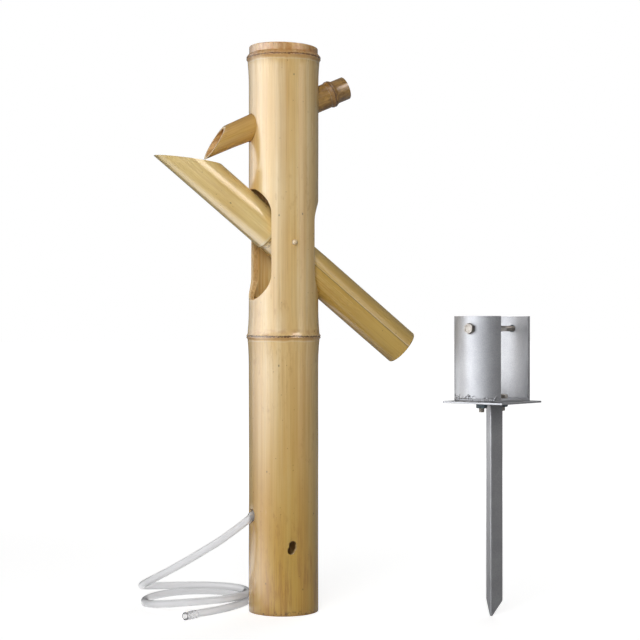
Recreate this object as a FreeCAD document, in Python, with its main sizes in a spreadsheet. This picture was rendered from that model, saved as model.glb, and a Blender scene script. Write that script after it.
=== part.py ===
import FreeCAD, Part
import math
import os
import Sketcher

# A shishi odoshi: a bamboo post with a rocking bamboo tube on a pin, a spout fed by a clear hose,
# and a steel ground stake whose holder clamps round the post's foot.
# Millimetres and degrees. The origin is the centre of the post's foot, +Z is up, and +X points
# along the rocker towards its tail, so the rocker swings in the XZ plane about a pin along Y.

SIZES = [
    # The post
    ("post_height", 600.0),
    ("post_radius", 37.0),
    ("post_wall", 5.3),
    ("mid_node_height", 291.7),
    ("top_node_height", 587.0),
    ("flare_length", 27.0),
    ("flare_rise", 1.3),
    ("ridge_rise", 1.3),
    ("ridge_half_width", 3.0),
    ("scar_depth", 0.6),
    ("rim_trim", 0.5),
    ("rim_shoulder", 4.8),
    ("rim_round", 1.2),
    ("diaphragm", 3.0),
    ("rim_slope", 1.7),
    # The swing slots in the post: the left one's bottom is measured down from the pivot, and the
    # right one's top up from it
    ("slot_half_width", 26.3),
    ("left_slot_turn", 7.0),
    ("left_slot_bottom", 60.1),
    ("left_slot_slack", 1.0),
    ("right_slot_top", 49.3),
    ("rest_gap", 0.3),
    # The rocker and its pin
    ("pivot_height", 390.1),
    ("rocker_tilt", 39.3),
    ("rocker_radius", 20.0),
    ("rocker_wall", 4.0),
    ("rocker_slim", 0.5),
    ("rocker_ridge", 0.5),
    ("mouth_reach", 165.5),
    ("mouth_cut_start", 105.2),
    ("tail_reach", 175.0),
    ("rocker_node", 18.4),
    ("rocker_swell_end", 46.0),
    ("tail_round", 0.8),
    ("pin_radius", 2.8),
    ("pin_clearance", 0.06),
    ("pin_front", 4.2),
    ("pin_back", 1.0),
    ("pin_bevel", 0.8),
    ("pin_bevel_length", 1.1),
    # The spout pipe, whose height is measured up from the pivot
    ("spout_height", 138.6),
    ("spout_slope", 23.9),
    ("spout_radius", 12.35),
    ("spout_wall", 2.5),
    ("spout_swell", 1.0),
    ("spout_tip_reach", 99.7),
    ("spout_cut_start", 65.5),
    ("spout_back_reach", 76.3),
    ("spout_node", 57.7),
    ("spout_ridge", 1.2),
    ("spout_fit", 0.15),
    ("spout_front_room", 0.5),
    ("spout_roll", 6.5),
    ("feed_room", 1.5),
    # The hose and its holes
    ("hose_radius", 4.0),
    ("hose_bore", 3.0),
    ("hose_hole_height", 102.8),
    ("hose_hole_radius", 7.6),
    ("hose_hole_turn", 5.5),
    ("hose_hole_room", 1.0),
    ("sleeve_radius", 4.2),
    ("sleeve_ring", 0.25),
    ("sleeve_length", 17.0),
    ("ring_spacing", 3.2),
    # The slots for the cross bolt in the post's foot
    ("foot_hole_radius", 4.2),
    ("foot_hole_low", 68.5),
    ("foot_hole_high", 74.2),
    ("foot_hole_shift", 1.5),
    # The stake and the holder
    ("stake_x", 201.0),
    ("stake_y", -91.4),
    ("holder_turn", 30.6),
    ("plate_top", 224.0),
    ("plate_side", 74.5),
    ("plate_thick", 2.0),
    ("base_thick", 2.3),
    ("post_room", 1.0),
    ("shell_thick", 2.0),
    ("shell_half_angle", 47.1),
    ("shell_height", 86.7),
    ("shell_bolt_drop", 13.0),
    ("shell_hole_radius", 4.0),
    ("weld_half_angle", 37.0),
    ("shell_weld", 1.5),
    ("plate_bolt_reach", 19.4),
    ("plate_hole_radius", 3.3),
    ("angle_x", 194.2),
    ("angle_y", -101.8),
    ("angle_turn", 5.5),
    ("angle_leg", 13.3),
    ("angle_thick", 2.0),
    ("angle_round", 1.6),
    ("angle_point", 15.7),
    ("stake_weld", 2.2),
    ("weld_toe", 0.35),
    # The fasteners
    ("bolt_radius", 3.0),
    ("hex_across", 10.0),
    ("head_height", 4.0),
    ("nut_height", 5.0),
    ("nut_play", 0.05),
    ("bolt_seat", 0.05),
    ("plate_bolt_tail", 4.2),
    ("cross_bolt_tail", 3.0),
]


class Size:
    """A number that also knows the sheet expression that gives it."""

    def __init__(self, value, text):
        self.value = value
        self.text = text

    def __add__(self, other):
        other = as_size(other)
        return Size(self.value + other.value, "(%s + %s)" % (self.text, other.text))

    def __radd__(self, other):
        return as_size(other) + self

    def __sub__(self, other):
        other = as_size(other)
        return Size(self.value - other.value, "(%s - %s)" % (self.text, other.text))

    def __rsub__(self, other):
        return as_size(other) - self

    def __mul__(self, other):
        other = as_size(other)
        return Size(self.value * other.value, "(%s * %s)" % (self.text, other.text))

    def __rmul__(self, other):
        return as_size(other) * self

    def __truediv__(self, other):
        other = as_size(other)
        return Size(self.value / other.value, "(%s / %s)" % (self.text, other.text))

    def __neg__(self):
        return Size(-self.value, "(0 - %s)" % self.text)


def as_size(number):
    if isinstance(number, Size):
        return number
    return Size(float(number), repr(float(number)))


def sine(angle):
    return Size(math.sin(math.radians(angle.value)), "sin(%s)" % angle.text)


def cosine(angle):
    return Size(math.cos(math.radians(angle.value)), "cos(%s)" % angle.text)


def tangent(angle):
    return Size(math.tan(math.radians(angle.value)), "tan(%s)" % angle.text)


def bind(thing, path, size):
    """Set one property of an object from the sheet."""
    thing.setExpression(path, as_size(size).text)


class Sheet:
    """The driving sizes, kept in a spreadsheet and read as attributes."""

    def __init__(self, doc, rows):
        self.cells = doc.addObject("Spreadsheet::Sheet", "Sizes")
        for number, (alias, value) in enumerate(rows, start=1):
            self.cells.set("A%d" % number, alias)
            self.cells.set("B%d" % number, str(value))
            self.cells.setAlias("B%d" % number, alias)
        doc.recompute()

    def __getattr__(self, alias):
        return Size(float(self.cells.get(alias)), "Sizes.%s" % alias)


doc = FreeCAD.newDocument("ShishiOdoshi")
s = Sheet(doc, SIZES)
nodes = []


def line(x, y):
    """One straight edge of an outline, given by where it ends."""
    return (as_size(x), as_size(y), None)


def arc(x, y, centre_x, centre_y, leftward):
    """One round edge of an outline: its end, its centre, and whether it turns to the left."""
    return (as_size(x), as_size(y), (as_size(centre_x), as_size(centre_y), leftward))


def new_body(label):
    body = doc.addObject("PartDesign::Body", label)
    body.Label = label
    nodes.append(body)
    return body


def new_sketch(body, role, name, offset=None, turn=None, about=FreeCAD.Vector(0, 1, 0)):
    """A sketch on one of the body's own planes, moved along it or turned about a local axis."""
    sketch = body.newObject("Sketcher::SketchObject", name)
    plane = [item for item in body.Origin.OriginFeatures if item.Role == role][0]
    sketch.AttachmentSupport = [(plane, "")]
    sketch.MapMode = "FlatFace"
    if turn is not None:
        rotation = FreeCAD.Rotation(about, turn.value)
        sketch.AttachmentOffset = FreeCAD.Placement(FreeCAD.Vector(), rotation)
        bind(sketch, "AttachmentOffset.Rotation.Angle", turn)
    if offset is not None:
        bind(sketch, "AttachmentOffset.Base.z", offset)
    return sketch


def pin_point(sketch, edge, end, x, y):
    """Fix one point of a sketch at its two sizes."""
    for kind, size, axis in (("DistanceX", x, -2), ("DistanceY", y, -1)):
        if size.text == "0.0":
            sketch.addConstraint(Sketcher.Constraint("PointOnObject", edge, end, axis))
            continue
        row = sketch.addConstraint(Sketcher.Constraint(kind, -1, 1, edge, end, size.value))
        bind(sketch, "Constraints[%d]" % row, size)


def outline(sketch, edges):
    """Draw a closed outline whose every corner and arc centre is bound to the sheet."""
    corners = [FreeCAD.Vector(x.value, y.value, 0) for x, y, _ in edges]
    made = []
    for number, (x, y, bend) in enumerate(edges):
        start = corners[number - 1]
        stop = corners[number]
        if bend is None:
            made.append((sketch.addGeometry(Part.LineSegment(start, stop), False), 1, 2))
            continue
        centre = FreeCAD.Vector(bend[0].value, bend[1].value, 0)
        first, last = (start, stop) if bend[2] else (stop, start)
        circle = Part.Circle(centre, FreeCAD.Vector(0, 0, 1), (first - centre).Length)
        low = math.atan2(first.y - centre.y, first.x - centre.x)
        high = math.atan2(last.y - centre.y, last.x - centre.x)
        while high < low:
            high += 2 * math.pi
        index = sketch.addGeometry(Part.ArcOfCircle(circle, low, high), False)
        made.append((index, 1, 2) if bend[2] else (index, 2, 1))
    for number, (index, _, end) in enumerate(made):
        following = made[(number + 1) % len(made)]
        sketch.addConstraint(Sketcher.Constraint("Coincident", index, end, following[0], following[1]))
        pin_point(sketch, index, end, edges[number][0], edges[number][1])
        bend = edges[number][2]
        if bend is not None:
            pin_centre(sketch, index, corners[number - 1], corners[number], bend)


def pin_centre(sketch, index, start, stop, bend):
    """Fix an arc's centre along the way that its two ends leave free."""
    flat = abs(stop.x - start.x) > abs(stop.y - start.y)
    kind, size, axis = ("DistanceY", bend[1], -1) if flat else ("DistanceX", bend[0], -2)
    if size.text == "0.0":
        sketch.addConstraint(Sketcher.Constraint("PointOnObject", index, 3, axis))
        return
    row = sketch.addConstraint(Sketcher.Constraint(kind, -1, 1, index, 3, size.value))
    bind(sketch, "Constraints[%d]" % row, size)


def circle(sketch, x, y, radius):
    """Draw a circle bound to the sheet."""
    x, y = as_size(x), as_size(y)
    centre = FreeCAD.Vector(x.value, y.value, 0)
    index = sketch.addGeometry(Part.Circle(centre, FreeCAD.Vector(0, 0, 1), radius.value), False)
    pin_point(sketch, index, 3, x, y)
    row = sketch.addConstraint(Sketcher.Constraint("Radius", index, radius.value))
    bind(sketch, "Constraints[%d]" % row, radius)


def hexagon(sketch, x, y, across):
    """Draw a hexagon with two flats square to the local Y axis."""
    x, y = as_size(x), as_size(y)
    corner = across / math.sqrt(3)
    ring = []
    for number in range(6):
        turn = math.radians(60 * number)
        along = corner * round(math.cos(turn), 12)
        aside = corner * round(math.sin(turn), 12)
        ring.append(line(x + along, y + aside))
    outline(sketch, ring)


def revolve(body, sketch, axis, angle=None):
    feature = body.newObject("PartDesign::Revolution", sketch.Name + "_turned")
    feature.Profile = (sketch, [""])
    feature.ReferenceAxis = (sketch, [axis])
    if angle is not None:
        feature.Midplane = True
        bind(feature, "Angle", angle)
    else:
        feature.Angle = 360
    return feature


def pad(body, sketch, length, backwards=False, both_ways=False):
    feature = body.newObject("PartDesign::Pad", sketch.Name + "_pad")
    feature.Profile = sketch
    feature.Reversed = backwards
    if both_ways:
        feature.SideType = "Symmetric"
    bind(feature, "Length", length)
    return feature


def check_cut(body, feature):
    """A cut that points away from the solid removes nothing, so its volume is compared."""
    doc.recompute()
    before = feature.BaseFeature.Shape.Volume
    if feature.Shape.Volume > before - 1e-3:
        raise RuntimeError("%s cuts nothing from %s" % (feature.Name, body.Label))


def pocket(body, sketch, length=None, backwards=False, both_ways=False):
    feature = body.newObject("PartDesign::Pocket", sketch.Name + "_cut")
    feature.Profile = sketch
    feature.Reversed = backwards
    if length is None:
        feature.Type = "ThroughAll"
    else:
        bind(feature, "Length", length)
    if both_ways:
        feature.SideType = "Symmetric"
    check_cut(body, feature)
    return feature


def groove(body, sketch, axis):
    feature = body.newObject("PartDesign::Groove", sketch.Name + "_cut")
    feature.Profile = (sketch, [""])
    feature.ReferenceAxis = (sketch, [axis])
    feature.Angle = 360
    check_cut(body, feature)
    return feature


def place(body, x, y, z, axis=None, angle=None):
    """Place a body by sheet sizes, turned about one fixed axis."""
    if axis is not None:
        body.Placement = FreeCAD.Placement(FreeCAD.Vector(), FreeCAD.Rotation(axis, angle.value))
        bind(body, "Placement.Rotation.Angle", angle)
    bind(body, "Placement.Base.x", x)
    bind(body, "Placement.Base.y", y)
    bind(body, "Placement.Base.z", z)


ALONG = FreeCAD.Vector(1, 0, 0)
ACROSS = FreeCAD.Vector(0, 1, 0)
UP = FreeCAD.Vector(0, 0, 1)

# How far a saw or a drill starts outside the piece that it cuts.
OVERRUN = 5.0


# The post

post_bore = s.post_radius - s.post_wall
flare_radius = (s.flare_length * s.flare_length + s.flare_rise * s.flare_rise) / (2 * s.flare_rise)
flare_top = s.post_radius + s.flare_rise
ridge_top = flare_top + s.ridge_rise
flare_centre = s.post_radius + flare_radius

# The length of culm that the post is sawn from, and the height of the spout's axis in the post.
culm_length = s.post_height + s.top_node_height
spout_axis = s.pivot_height + s.spout_height


def node_ridge(height):
    """The ridge of a culm's node: up one side, down into its scar line and out again."""
    half = s.ridge_half_width
    return [
        line(flare_top, height - half),
        line(ridge_top, height - half / 3),
        line(ridge_top - s.scar_depth, height),
        line(ridge_top, height + half / 3),
        line(flare_top, height + half),
    ]


def flare_below(height):
    """The culm widens towards the node in a long hollow curve."""
    half = s.ridge_half_width
    start = height - half - s.flare_length
    return [
        line(s.post_radius, start),
        arc(flare_top, height - half, flare_centre, start, False),
    ]


def diaphragm_down(height):
    """The inner wall on the way down: across the node's diaphragm to the axis and back."""
    half = s.diaphragm / 2
    return [
        line(post_bore, height + half + s.diaphragm),
        line(post_bore - s.diaphragm, height + half),
        line(0, height + half),
        line(0, height - half),
        line(post_bore - s.diaphragm, height - half),
        line(post_bore, height - half - s.diaphragm),
    ]


def build_post():
    """A long piece of culm with both nodes, sawn to length, then every hole that is cut in it."""
    body = new_body("post_culm")
    profile = new_sketch(body, "XZ_Plane", "post_profile")
    flare_end = s.mid_node_height + s.ridge_half_width + s.flare_length
    rim_radius = s.post_radius - s.rim_trim
    edges = [line(post_bore, 0), line(s.post_radius, 0)]
    edges += flare_below(s.mid_node_height)
    edges += node_ridge(s.mid_node_height)[1:]
    edges += [arc(s.post_radius, flare_end, flare_centre, flare_end, False)]
    edges += flare_below(s.top_node_height)
    edges += node_ridge(s.top_node_height)[1:]
    edges += [line(rim_radius, s.top_node_height + s.rim_shoulder)]
    edges += [line(rim_radius, culm_length), line(post_bore, culm_length)]
    edges += diaphragm_down(s.top_node_height)
    edges += diaphragm_down(s.mid_node_height)
    outline(profile, edges)
    revolve(body, profile, "V_Axis")
    doc.recompute()
    cut_rim(body)
    cut_slots(body)
    cut_spout_holes(body)
    cut_small_holes(body)
    return body


def cut_rim(body):
    """The rim is sawn a little out of square, lower towards the rocker's tail, and rounded."""
    saw = new_sketch(body, "XZ_Plane", "rim_saw")
    reach = s.post_radius + OVERRUN
    drop = 2 * reach * tangent(s.rim_slope)
    outline(saw, [
        line(-reach, culm_length + OVERRUN),
        line(-reach, s.post_height),
        line(reach, s.post_height - drop),
        line(reach, culm_length + OVERRUN),
    ])
    rim = pocket(body, saw, both_ways=True)
    lowest = s.post_height.value - drop.value
    mid_wall_across = 2 * post_bore.value + s.post_wall.value
    outer = []
    for number, edge in enumerate(rim.Shape.Edges, start=1):
        if edge.BoundBox.ZMin > lowest and edge.BoundBox.XLength > mid_wall_across:
            outer.append("Edge%d" % number)
    rounding = body.newObject("PartDesign::Fillet", "rim_rounding")
    rounding.Base = (rim, outer)
    bind(rounding, "Radius", s.rim_round)
    doc.recompute()


def slot_outline(sketch, bottom, top):
    """A slot with full round ends."""
    half = s.slot_half_width
    outline(sketch, [
        line(-half, bottom + half),
        arc(half, bottom + half, 0, bottom + half, True),
        line(half, top - half),
        arc(-half, top - half, 0, top - half, True),
    ])


def cut_slots(body):
    """The mouth slot and the tail slot. At rest the rocker nearly touches both."""
    rise = s.post_radius * tangent(s.rocker_tilt)
    reach = s.rocker_radius / cosine(s.rocker_tilt)
    gap = s.rest_gap / cosine(s.rocker_tilt)
    left = new_sketch(body, "YZ_Plane", "left_slot", turn=s.left_slot_turn)
    left_top = s.pivot_height + rise + reach + s.left_slot_slack
    slot_outline(left, s.pivot_height - s.left_slot_bottom, left_top)
    pocket(body, left)
    right = new_sketch(body, "YZ_Plane", "right_slot")
    right_bottom = s.pivot_height - rise - reach - gap
    slot_outline(right, right_bottom, s.pivot_height + s.right_slot_top)
    pocket(body, right, backwards=True)


def cut_spout_holes(body):
    """The back hole holds the spout tight, and the front one leaves a little room round it."""
    drill = body.newObject("Sketcher::SketchObject", "spout_drill")
    plane = [item for item in body.Origin.OriginFeatures if item.Role == "XZ_Plane"][0]
    drill.AttachmentSupport = [(plane, "")]
    drill.MapMode = "FlatFace"
    turn = FreeCAD.Rotation(UP, s.spout_slope.value)
    drill.AttachmentOffset = FreeCAD.Placement(FreeCAD.Vector(), turn)
    bind(drill, "AttachmentOffset.Base.y", spout_axis)
    bind(drill, "AttachmentOffset.Rotation.Angle", s.spout_slope)
    reach = 2 * s.post_radius
    front = s.spout_radius + s.spout_swell + s.spout_front_room
    back = s.spout_radius + s.spout_swell + s.spout_fit
    outline(drill, [
        line(-reach, 0),
        line(reach, 0),
        line(reach, back),
        line(0, back),
        line(0, front),
        line(-reach, front),
    ])
    groove(body, drill, "H_Axis")


def cut_small_holes(body):
    """The hose hole, its way through the middle diaphragm, and the pin's and bolt's holes."""
    hole = new_sketch(body, "YZ_Plane", "hose_hole", turn=s.hose_hole_turn)
    circle(hole, 0, s.hose_hole_height, s.hose_hole_radius)
    pocket(body, hole)
    way = new_sketch(body, "XY_Plane", "hose_way", offset=s.mid_node_height + 2 * s.diaphragm)
    circle(way, NODE_POINT[0], NODE_POINT[1] - HOSE_INSIDE_POINT, s.hose_radius + s.hose_hole_room)
    pocket(body, way, length=4 * s.diaphragm)
    pin_hole = new_sketch(body, "XZ_Plane", "pin_hole")
    circle(pin_hole, 0, s.pivot_height, s.pin_radius)
    pocket(body, pin_hole, both_ways=True)
    # The bolt's slot is three holes drilled into each other, the lowest a little off to one side.
    middle = (s.foot_hole_low + s.foot_hole_high) / 2
    holes = (
        ("low", 2 * s.foot_hole_shift, s.foot_hole_low),
        ("middle", s.foot_hole_shift, middle),
        ("high", s.foot_hole_shift, s.foot_hole_high),
    )
    for name, aside, height in holes:
        foot_hole = new_sketch(body, "XZ_Plane", "foot_hole_" + name)
        circle(foot_hole, -aside, height, s.foot_hole_radius)
        pocket(body, foot_hole, both_ways=True)


# The rocker and its pin


def build_rocker():
    """A tube that is turned about its own X axis, tail towards +X, with the pin hole at 0."""
    body = new_body("rocker_tube")
    profile = new_sketch(body, "XZ_Plane", "rocker_profile")
    bore = s.rocker_radius - s.rocker_wall
    slim = s.rocker_radius - s.rocker_slim
    half = s.diaphragm / 2
    node = -s.rocker_node
    outline(profile, [
        line(-s.mouth_reach, bore),
        line(node - 2 * half, bore),
        line(node - half, bore - half),
        line(node - half, 0),
        line(node + half, 0),
        line(node + half, bore - half),
        line(node + 2 * half, bore),
        line(s.tail_reach, bore),
        line(s.tail_reach, s.rocker_radius - s.tail_round),
        arc(s.tail_reach - s.tail_round, s.rocker_radius,
            s.tail_reach - s.tail_round, s.rocker_radius - s.tail_round, True),
        line(s.rocker_swell_end, s.rocker_radius),
        line(node + half * 2, slim),
        line(node + half / 2, slim + s.rocker_ridge),
        line(node - half / 2, s.rocker_radius + s.rocker_ridge),
        line(node - half * 2, s.rocker_radius),
        line(-s.mouth_reach, s.rocker_radius),
    ])
    revolve(body, profile, "H_Axis")
    doc.recompute()
    mouth = new_sketch(body, "XZ_Plane", "mouth_saw")
    lean = (s.mouth_reach - s.mouth_cut_start) / (2 * s.rocker_radius)
    over = s.rocker_radius + OVERRUN
    outline(mouth, [
        line(-s.mouth_reach - OVERRUN, over),
        line(-s.mouth_reach - OVERRUN * lean, -over),
        line(-s.mouth_cut_start + OVERRUN * lean, over),
    ])
    pocket(body, mouth, both_ways=True)
    pin_hole = new_sketch(body, "XZ_Plane", "rocker_pin_hole")
    circle(pin_hole, 0, 0, s.pin_radius + s.pin_clearance)
    pocket(body, pin_hole, both_ways=True)
    place(body, 0, 0, s.pivot_height, ACROSS, s.rocker_tilt)
    return body


def build_pin():
    """A whittled bamboo pin through the post, with a bevel on the end that shows."""
    body = new_body("pivot_pin")
    section = new_sketch(body, "XY_Plane", "pin_section")
    front = s.post_radius + s.pin_front
    back = s.post_radius + s.pin_back
    outline(section, [
        line(0, -front),
        line(s.pin_radius - s.pin_bevel, -front),
        line(s.pin_radius, s.pin_bevel_length - front),
        line(s.pin_radius, back),
        line(0, back),
    ])
    revolve(body, section, "V_Axis")
    place(body, 0, 0, s.pivot_height)
    return body


# The spout pipe


def build_spout():
    """A thin pipe turned about its own X axis, which rises towards its closed back end."""
    body = new_body("spout_pipe")
    profile = new_sketch(body, "XZ_Plane", "spout_profile")
    bore = s.spout_radius - s.spout_wall
    wide = s.spout_radius + s.spout_swell
    half = s.spout_wall / 2
    outline(profile, [
        line(-s.spout_tip_reach, bore),
        line(s.spout_node - half, bore),
        line(s.spout_node - half, 0),
        line(s.spout_node + half, 0),
        line(s.spout_node + half, bore),
        line(s.spout_back_reach, bore),
        line(s.spout_back_reach, s.spout_radius),
        line(s.spout_node + 4 * half, s.spout_radius),
        line(s.spout_node + half, wide + s.spout_ridge),
        line(s.spout_node, wide + s.spout_ridge / 2),
        line(s.spout_node - half, wide + s.spout_ridge),
        line(s.spout_node - 3 * half, wide),
        line(-s.post_radius, wide),
        line(-s.spout_cut_start, s.spout_radius),
        line(-s.spout_tip_reach, s.spout_radius),
    ])
    revolve(body, profile, "H_Axis")
    doc.recompute()
    mouth = new_sketch(body, "XZ_Plane", "spout_saw", turn=s.spout_roll, about=ALONG)
    lean = (s.spout_tip_reach - s.spout_cut_start) / (2 * s.spout_radius)
    over = s.spout_radius + OVERRUN
    outline(mouth, [
        line(-s.spout_tip_reach - OVERRUN, over),
        line(-s.spout_tip_reach - OVERRUN * lean, -over),
        line(-s.spout_cut_start + OVERRUN * lean, over),
    ])
    pocket(body, mouth, both_ways=True)
    feed = new_sketch(body, "XY_Plane", "feed_hole")
    middle = s.spout_radius + (s.spout_swell - s.spout_wall) / 2
    circle(feed, -middle * tangent(s.spout_slope), 0, s.hose_radius + s.feed_room)
    pocket(body, feed)
    place(body, 0, 0, spout_axis, ACROSS, -s.spout_slope)
    return body


# The hose

FLOOR_PLAY = 0.1

# The route's point at the middle diaphragm, and how far inside it the hose's arc passes.
NODE_POINT = (7.0, 25.0, 300.0)
HOSE_INSIDE_POINT = 0.8

# The route inside the post, from the hose hole up past the rocker and into the spout pipe.
# The points at its two ends are worked out from the hole and the pipe.
INNER_ROUTE = [
    (2.0, 3.0, 141.0),
    (6.0, 10.0, 186.0),
    (7.5, 19.0, 240.0),
    NODE_POINT,
    (7.6, 25.4, 352.0),
    (7.2, 25.0, 404.0),
    (6.0, 19.5, 447.0),
    (2.0, 7.0, 482.0),
]
# How far the hose runs straight outside and inside the middle of the wall.
HOSE_OUTSIDE = 4.0
HOSE_INSIDE = 26.0
# The hose's straight run into the spout pipe, and where it ends under the pipe's axis.
FEED_RUN = 16.0
FEED_BELOW = 7.7

# The free route from the hose hole down to the coil.
LEAD_ROUTE = [
    (-62.0, -1.9, 82.0),
    (-86.2, 10.7, 65.0),
    (-107.9, 27.6, 48.8),
    (-125.4, 44.2, 36.0),
]

# The coil is a run of loose ovals. Each value and its drift is for one whole turn.
COIL_TURNS = 1.5
COIL_CENTRE = (-80.6, 70.1)
COIL_DRIFT = (3.0, -6.3)
COIL_WIDE = (59.0, -2.0)
COIL_DEEP = (39.25, 21.3)
COIL_YAW = -19.0
# The first turn comes down from the lead, and sinks off the turn under it at its end.
LEAD_RISE = 6.4
LEAD_TURNS = 0.25
LAYER_GAP = 0.7
LAYER_END = 1.0
LAYER_DROP = 0.3

# The hose leaves the coil beside the post's foot and runs out in front of it.
RUN_OUT = [
    (-63.7, 6.7),
    (-99.5, -13.9),
]
RUN_OUT_HEADINGS = [
    (-0.89, -0.45),
    (-0.83, -0.55),
]


def hose_hole_point(reach):
    """A point on the hose's straight run through its hole, reach outwards from mid-wall."""
    turn = math.radians(s.hose_hole_turn.value)
    middle = s.post_radius.value - s.post_wall.value / 2
    radial = FreeCAD.Vector(-math.cos(turn), -math.sin(turn), 0)
    start = radial * middle + UP * s.hose_hole_height.value
    return start + (FreeCAD.Vector(*LEAD_ROUTE[0]) - start).normalize() * reach


def coil_point(turns):
    """The coil's centre line: loose ovals, each turn a little wider and further back."""
    angle = math.pi - 2 * math.pi * turns
    yaw = math.radians(COIL_YAW)
    wide = COIL_DRIFT[0] * turns + (COIL_WIDE[0] + COIL_WIDE[1] * turns) * math.cos(angle)
    deep = COIL_DRIFT[1] * turns + (COIL_DEEP[0] + COIL_DEEP[1] * turns) * math.sin(angle)
    x = COIL_CENTRE[0] + wide * math.cos(yaw) - deep * math.sin(yaw)
    y = COIL_CENTRE[1] + wide * math.sin(yaw) + deep * math.cos(yaw)
    floor = s.hose_radius.value + FLOOR_PLAY
    layer = 2 * s.hose_radius.value + LAYER_GAP
    settle = min(1.0, max(0.0, (LAYER_END - turns) / LAYER_DROP))
    share = settle * settle * (3 - 2 * settle)
    rise = LEAD_RISE * max(0.0, 1 - turns / LEAD_TURNS) ** 2
    return FreeCAD.Vector(x, y, floor + layer * share + rise)


def coil_heading(turns):
    step = 1e-4
    return (coil_point(turns + step) - coil_point(turns - step)).normalize()


def rounded_path(points):
    """Straight runs joined by tangent arcs, each as large as its two runs allow."""
    edges = []
    start = points[0]
    radii = []
    for number in range(1, len(points) - 1):
        corner = points[number]
        back = points[number - 1] - corner
        ahead = points[number + 1] - corner
        turn = math.pi - back.getAngle(ahead)
        reach = 0.45 * min(back.Length, ahead.Length)
        radius = reach / math.tan(turn / 2)
        radii.append(radius)
        into = corner + back.normalize() * reach
        out = corner + ahead.normalize() * reach
        middle = corner + (back + ahead).normalize() * (radius / math.cos(turn / 2) - radius)
        edges.append(Part.LineSegment(start, into).toShape())
        edges.append(Part.Arc(into, middle, out).toShape())
        start = out
    edges.append(Part.LineSegment(start, points[-1]).toShape())
    return edges, radii


def arc_edge(start, heading, stop):
    """The arc that leaves start along heading and ends at stop."""
    chord = stop - start
    bend = heading.getAngle(chord)
    if bend < 1e-4:
        return Part.LineSegment(start, stop).toShape()
    half = (heading + FreeCAD.Vector(chord).normalize()).normalize()
    middle = start + half * (chord.Length / 2 / math.cos(bend / 2))
    return Part.Arc(start, middle, stop).toShape()


def biarc(start, heading, stop, last_heading):
    """Two arcs that join two points with the given headings at both."""
    chord = stop - start
    both = heading + last_heading
    spread = 2 * (1 - heading.dot(last_heading))
    lean = chord.dot(both)
    if spread < 1e-9:
        reach = chord.dot(chord) / (4 * chord.dot(last_heading))
    else:
        reach = (-lean + math.sqrt(lean * lean + spread * chord.dot(chord))) / spread
    middle = (start + stop + (heading - last_heading) * reach) * 0.5
    turned = (middle - start - heading * reach).normalize()
    return [arc_edge(start, heading, middle), arc_edge(middle, turned, stop)]


def sweep_hose(edges):
    """A tube along a path: the hose's outside less its bore."""
    path = Part.Wire(edges)
    start = path.OrderedVertexes[0].Point
    first = path.OrderedEdges[0]
    heading = first.tangentAt(first.FirstParameter)
    if (first.valueAt(first.FirstParameter) - start).Length > 1e-6:
        heading = first.tangentAt(first.LastParameter) * -1
    skins = []
    for radius in (s.hose_radius.value, s.hose_bore.value):
        ring = Part.Wire(Part.Circle(start, heading, radius).toShape())
        skins.append(path.makePipeShell([ring], True, False))
    return skins[0].cut(skins[1]), path


def add_hose(label, edges):
    """Make a hose node and compare its volume with its section times its length."""
    shape, path = sweep_hose(edges)
    section = math.pi * (s.hose_radius.value ** 2 - s.hose_bore.value ** 2)
    ratio = shape.Volume / (section * path.Length)
    print("%s: length %.1f, volume ratio %.4f" % (label, path.Length, ratio))
    if abs(ratio - 1) > 0.01:
        raise RuntimeError("%s has the wrong volume" % label)
    feature = doc.addObject("Part::Feature", label)
    feature.Label = label
    feature.Shape = shape
    nodes.append(feature)
    return path


def build_hose():
    """The hose in three stretches that meet face to face."""
    outside = hose_hole_point(HOSE_OUTSIDE)
    top = spout_axis.value - FEED_BELOW
    points = [outside, hose_hole_point(-HOSE_INSIDE)]
    points += [FreeCAD.Vector(*point) for point in INNER_ROUTE]
    points += [UP * (top - FEED_RUN), UP * top]
    edges, radii = rounded_path(points)
    print("inner hose radii:", ["%.0f" % radius for radius in radii])
    add_hose("inner_hose", edges)

    points = [outside] + [FreeCAD.Vector(*point) for point in LEAD_ROUTE]
    edges, radii = rounded_path(points)
    print("lead radii:", ["%.0f" % radius for radius in radii])
    add_hose("hose_lead", edges)

    join = points[-1]
    heading = (join - points[-2]).normalize()
    straight_end = 2 * s.hose_radius.value
    start = join + heading * straight_end
    edges = [Part.LineSegment(join, start).toShape()]
    edges += biarc(start, heading, coil_point(0), coil_heading(0))
    quarters = int(round(COIL_TURNS * 4))
    for number in range(quarters):
        low = number / 4
        high = (number + 1) / 4
        edges += biarc(coil_point(low), coil_heading(low), coil_point(high), coil_heading(high))
    floor = s.hose_radius.value + FLOOR_PLAY
    ring_floor = s.sleeve_radius.value + s.sleeve_ring.value + FLOOR_PLAY
    first_heading, last_heading = [
        FreeCAD.Vector(x, y, 0).normalize() for x, y in RUN_OUT_HEADINGS
    ]
    first = FreeCAD.Vector(RUN_OUT[0][0], RUN_OUT[0][1], floor)
    last = FreeCAD.Vector(RUN_OUT[1][0], RUN_OUT[1][1], ring_floor)
    straight = last - last_heading * straight_end
    edges += biarc(coil_point(COIL_TURNS), coil_heading(COIL_TURNS), first, first_heading)
    edges += biarc(first, first_heading, straight, last_heading)
    edges.append(Part.LineSegment(straight, last).toShape())
    path = add_hose("hose_coil", edges)
    print("coil radii:", ["%.0f" % edge.Curve.Radius for edge in edges if hasattr(edge.Curve, "Radius")])
    print("least gap of the coil to itself: %.2f" % least_gap(path))
    print("least gap of the coil to the post: %.2f" % post_gap(path))
    return last, last_heading


GAP_STEP = 2.0


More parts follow.
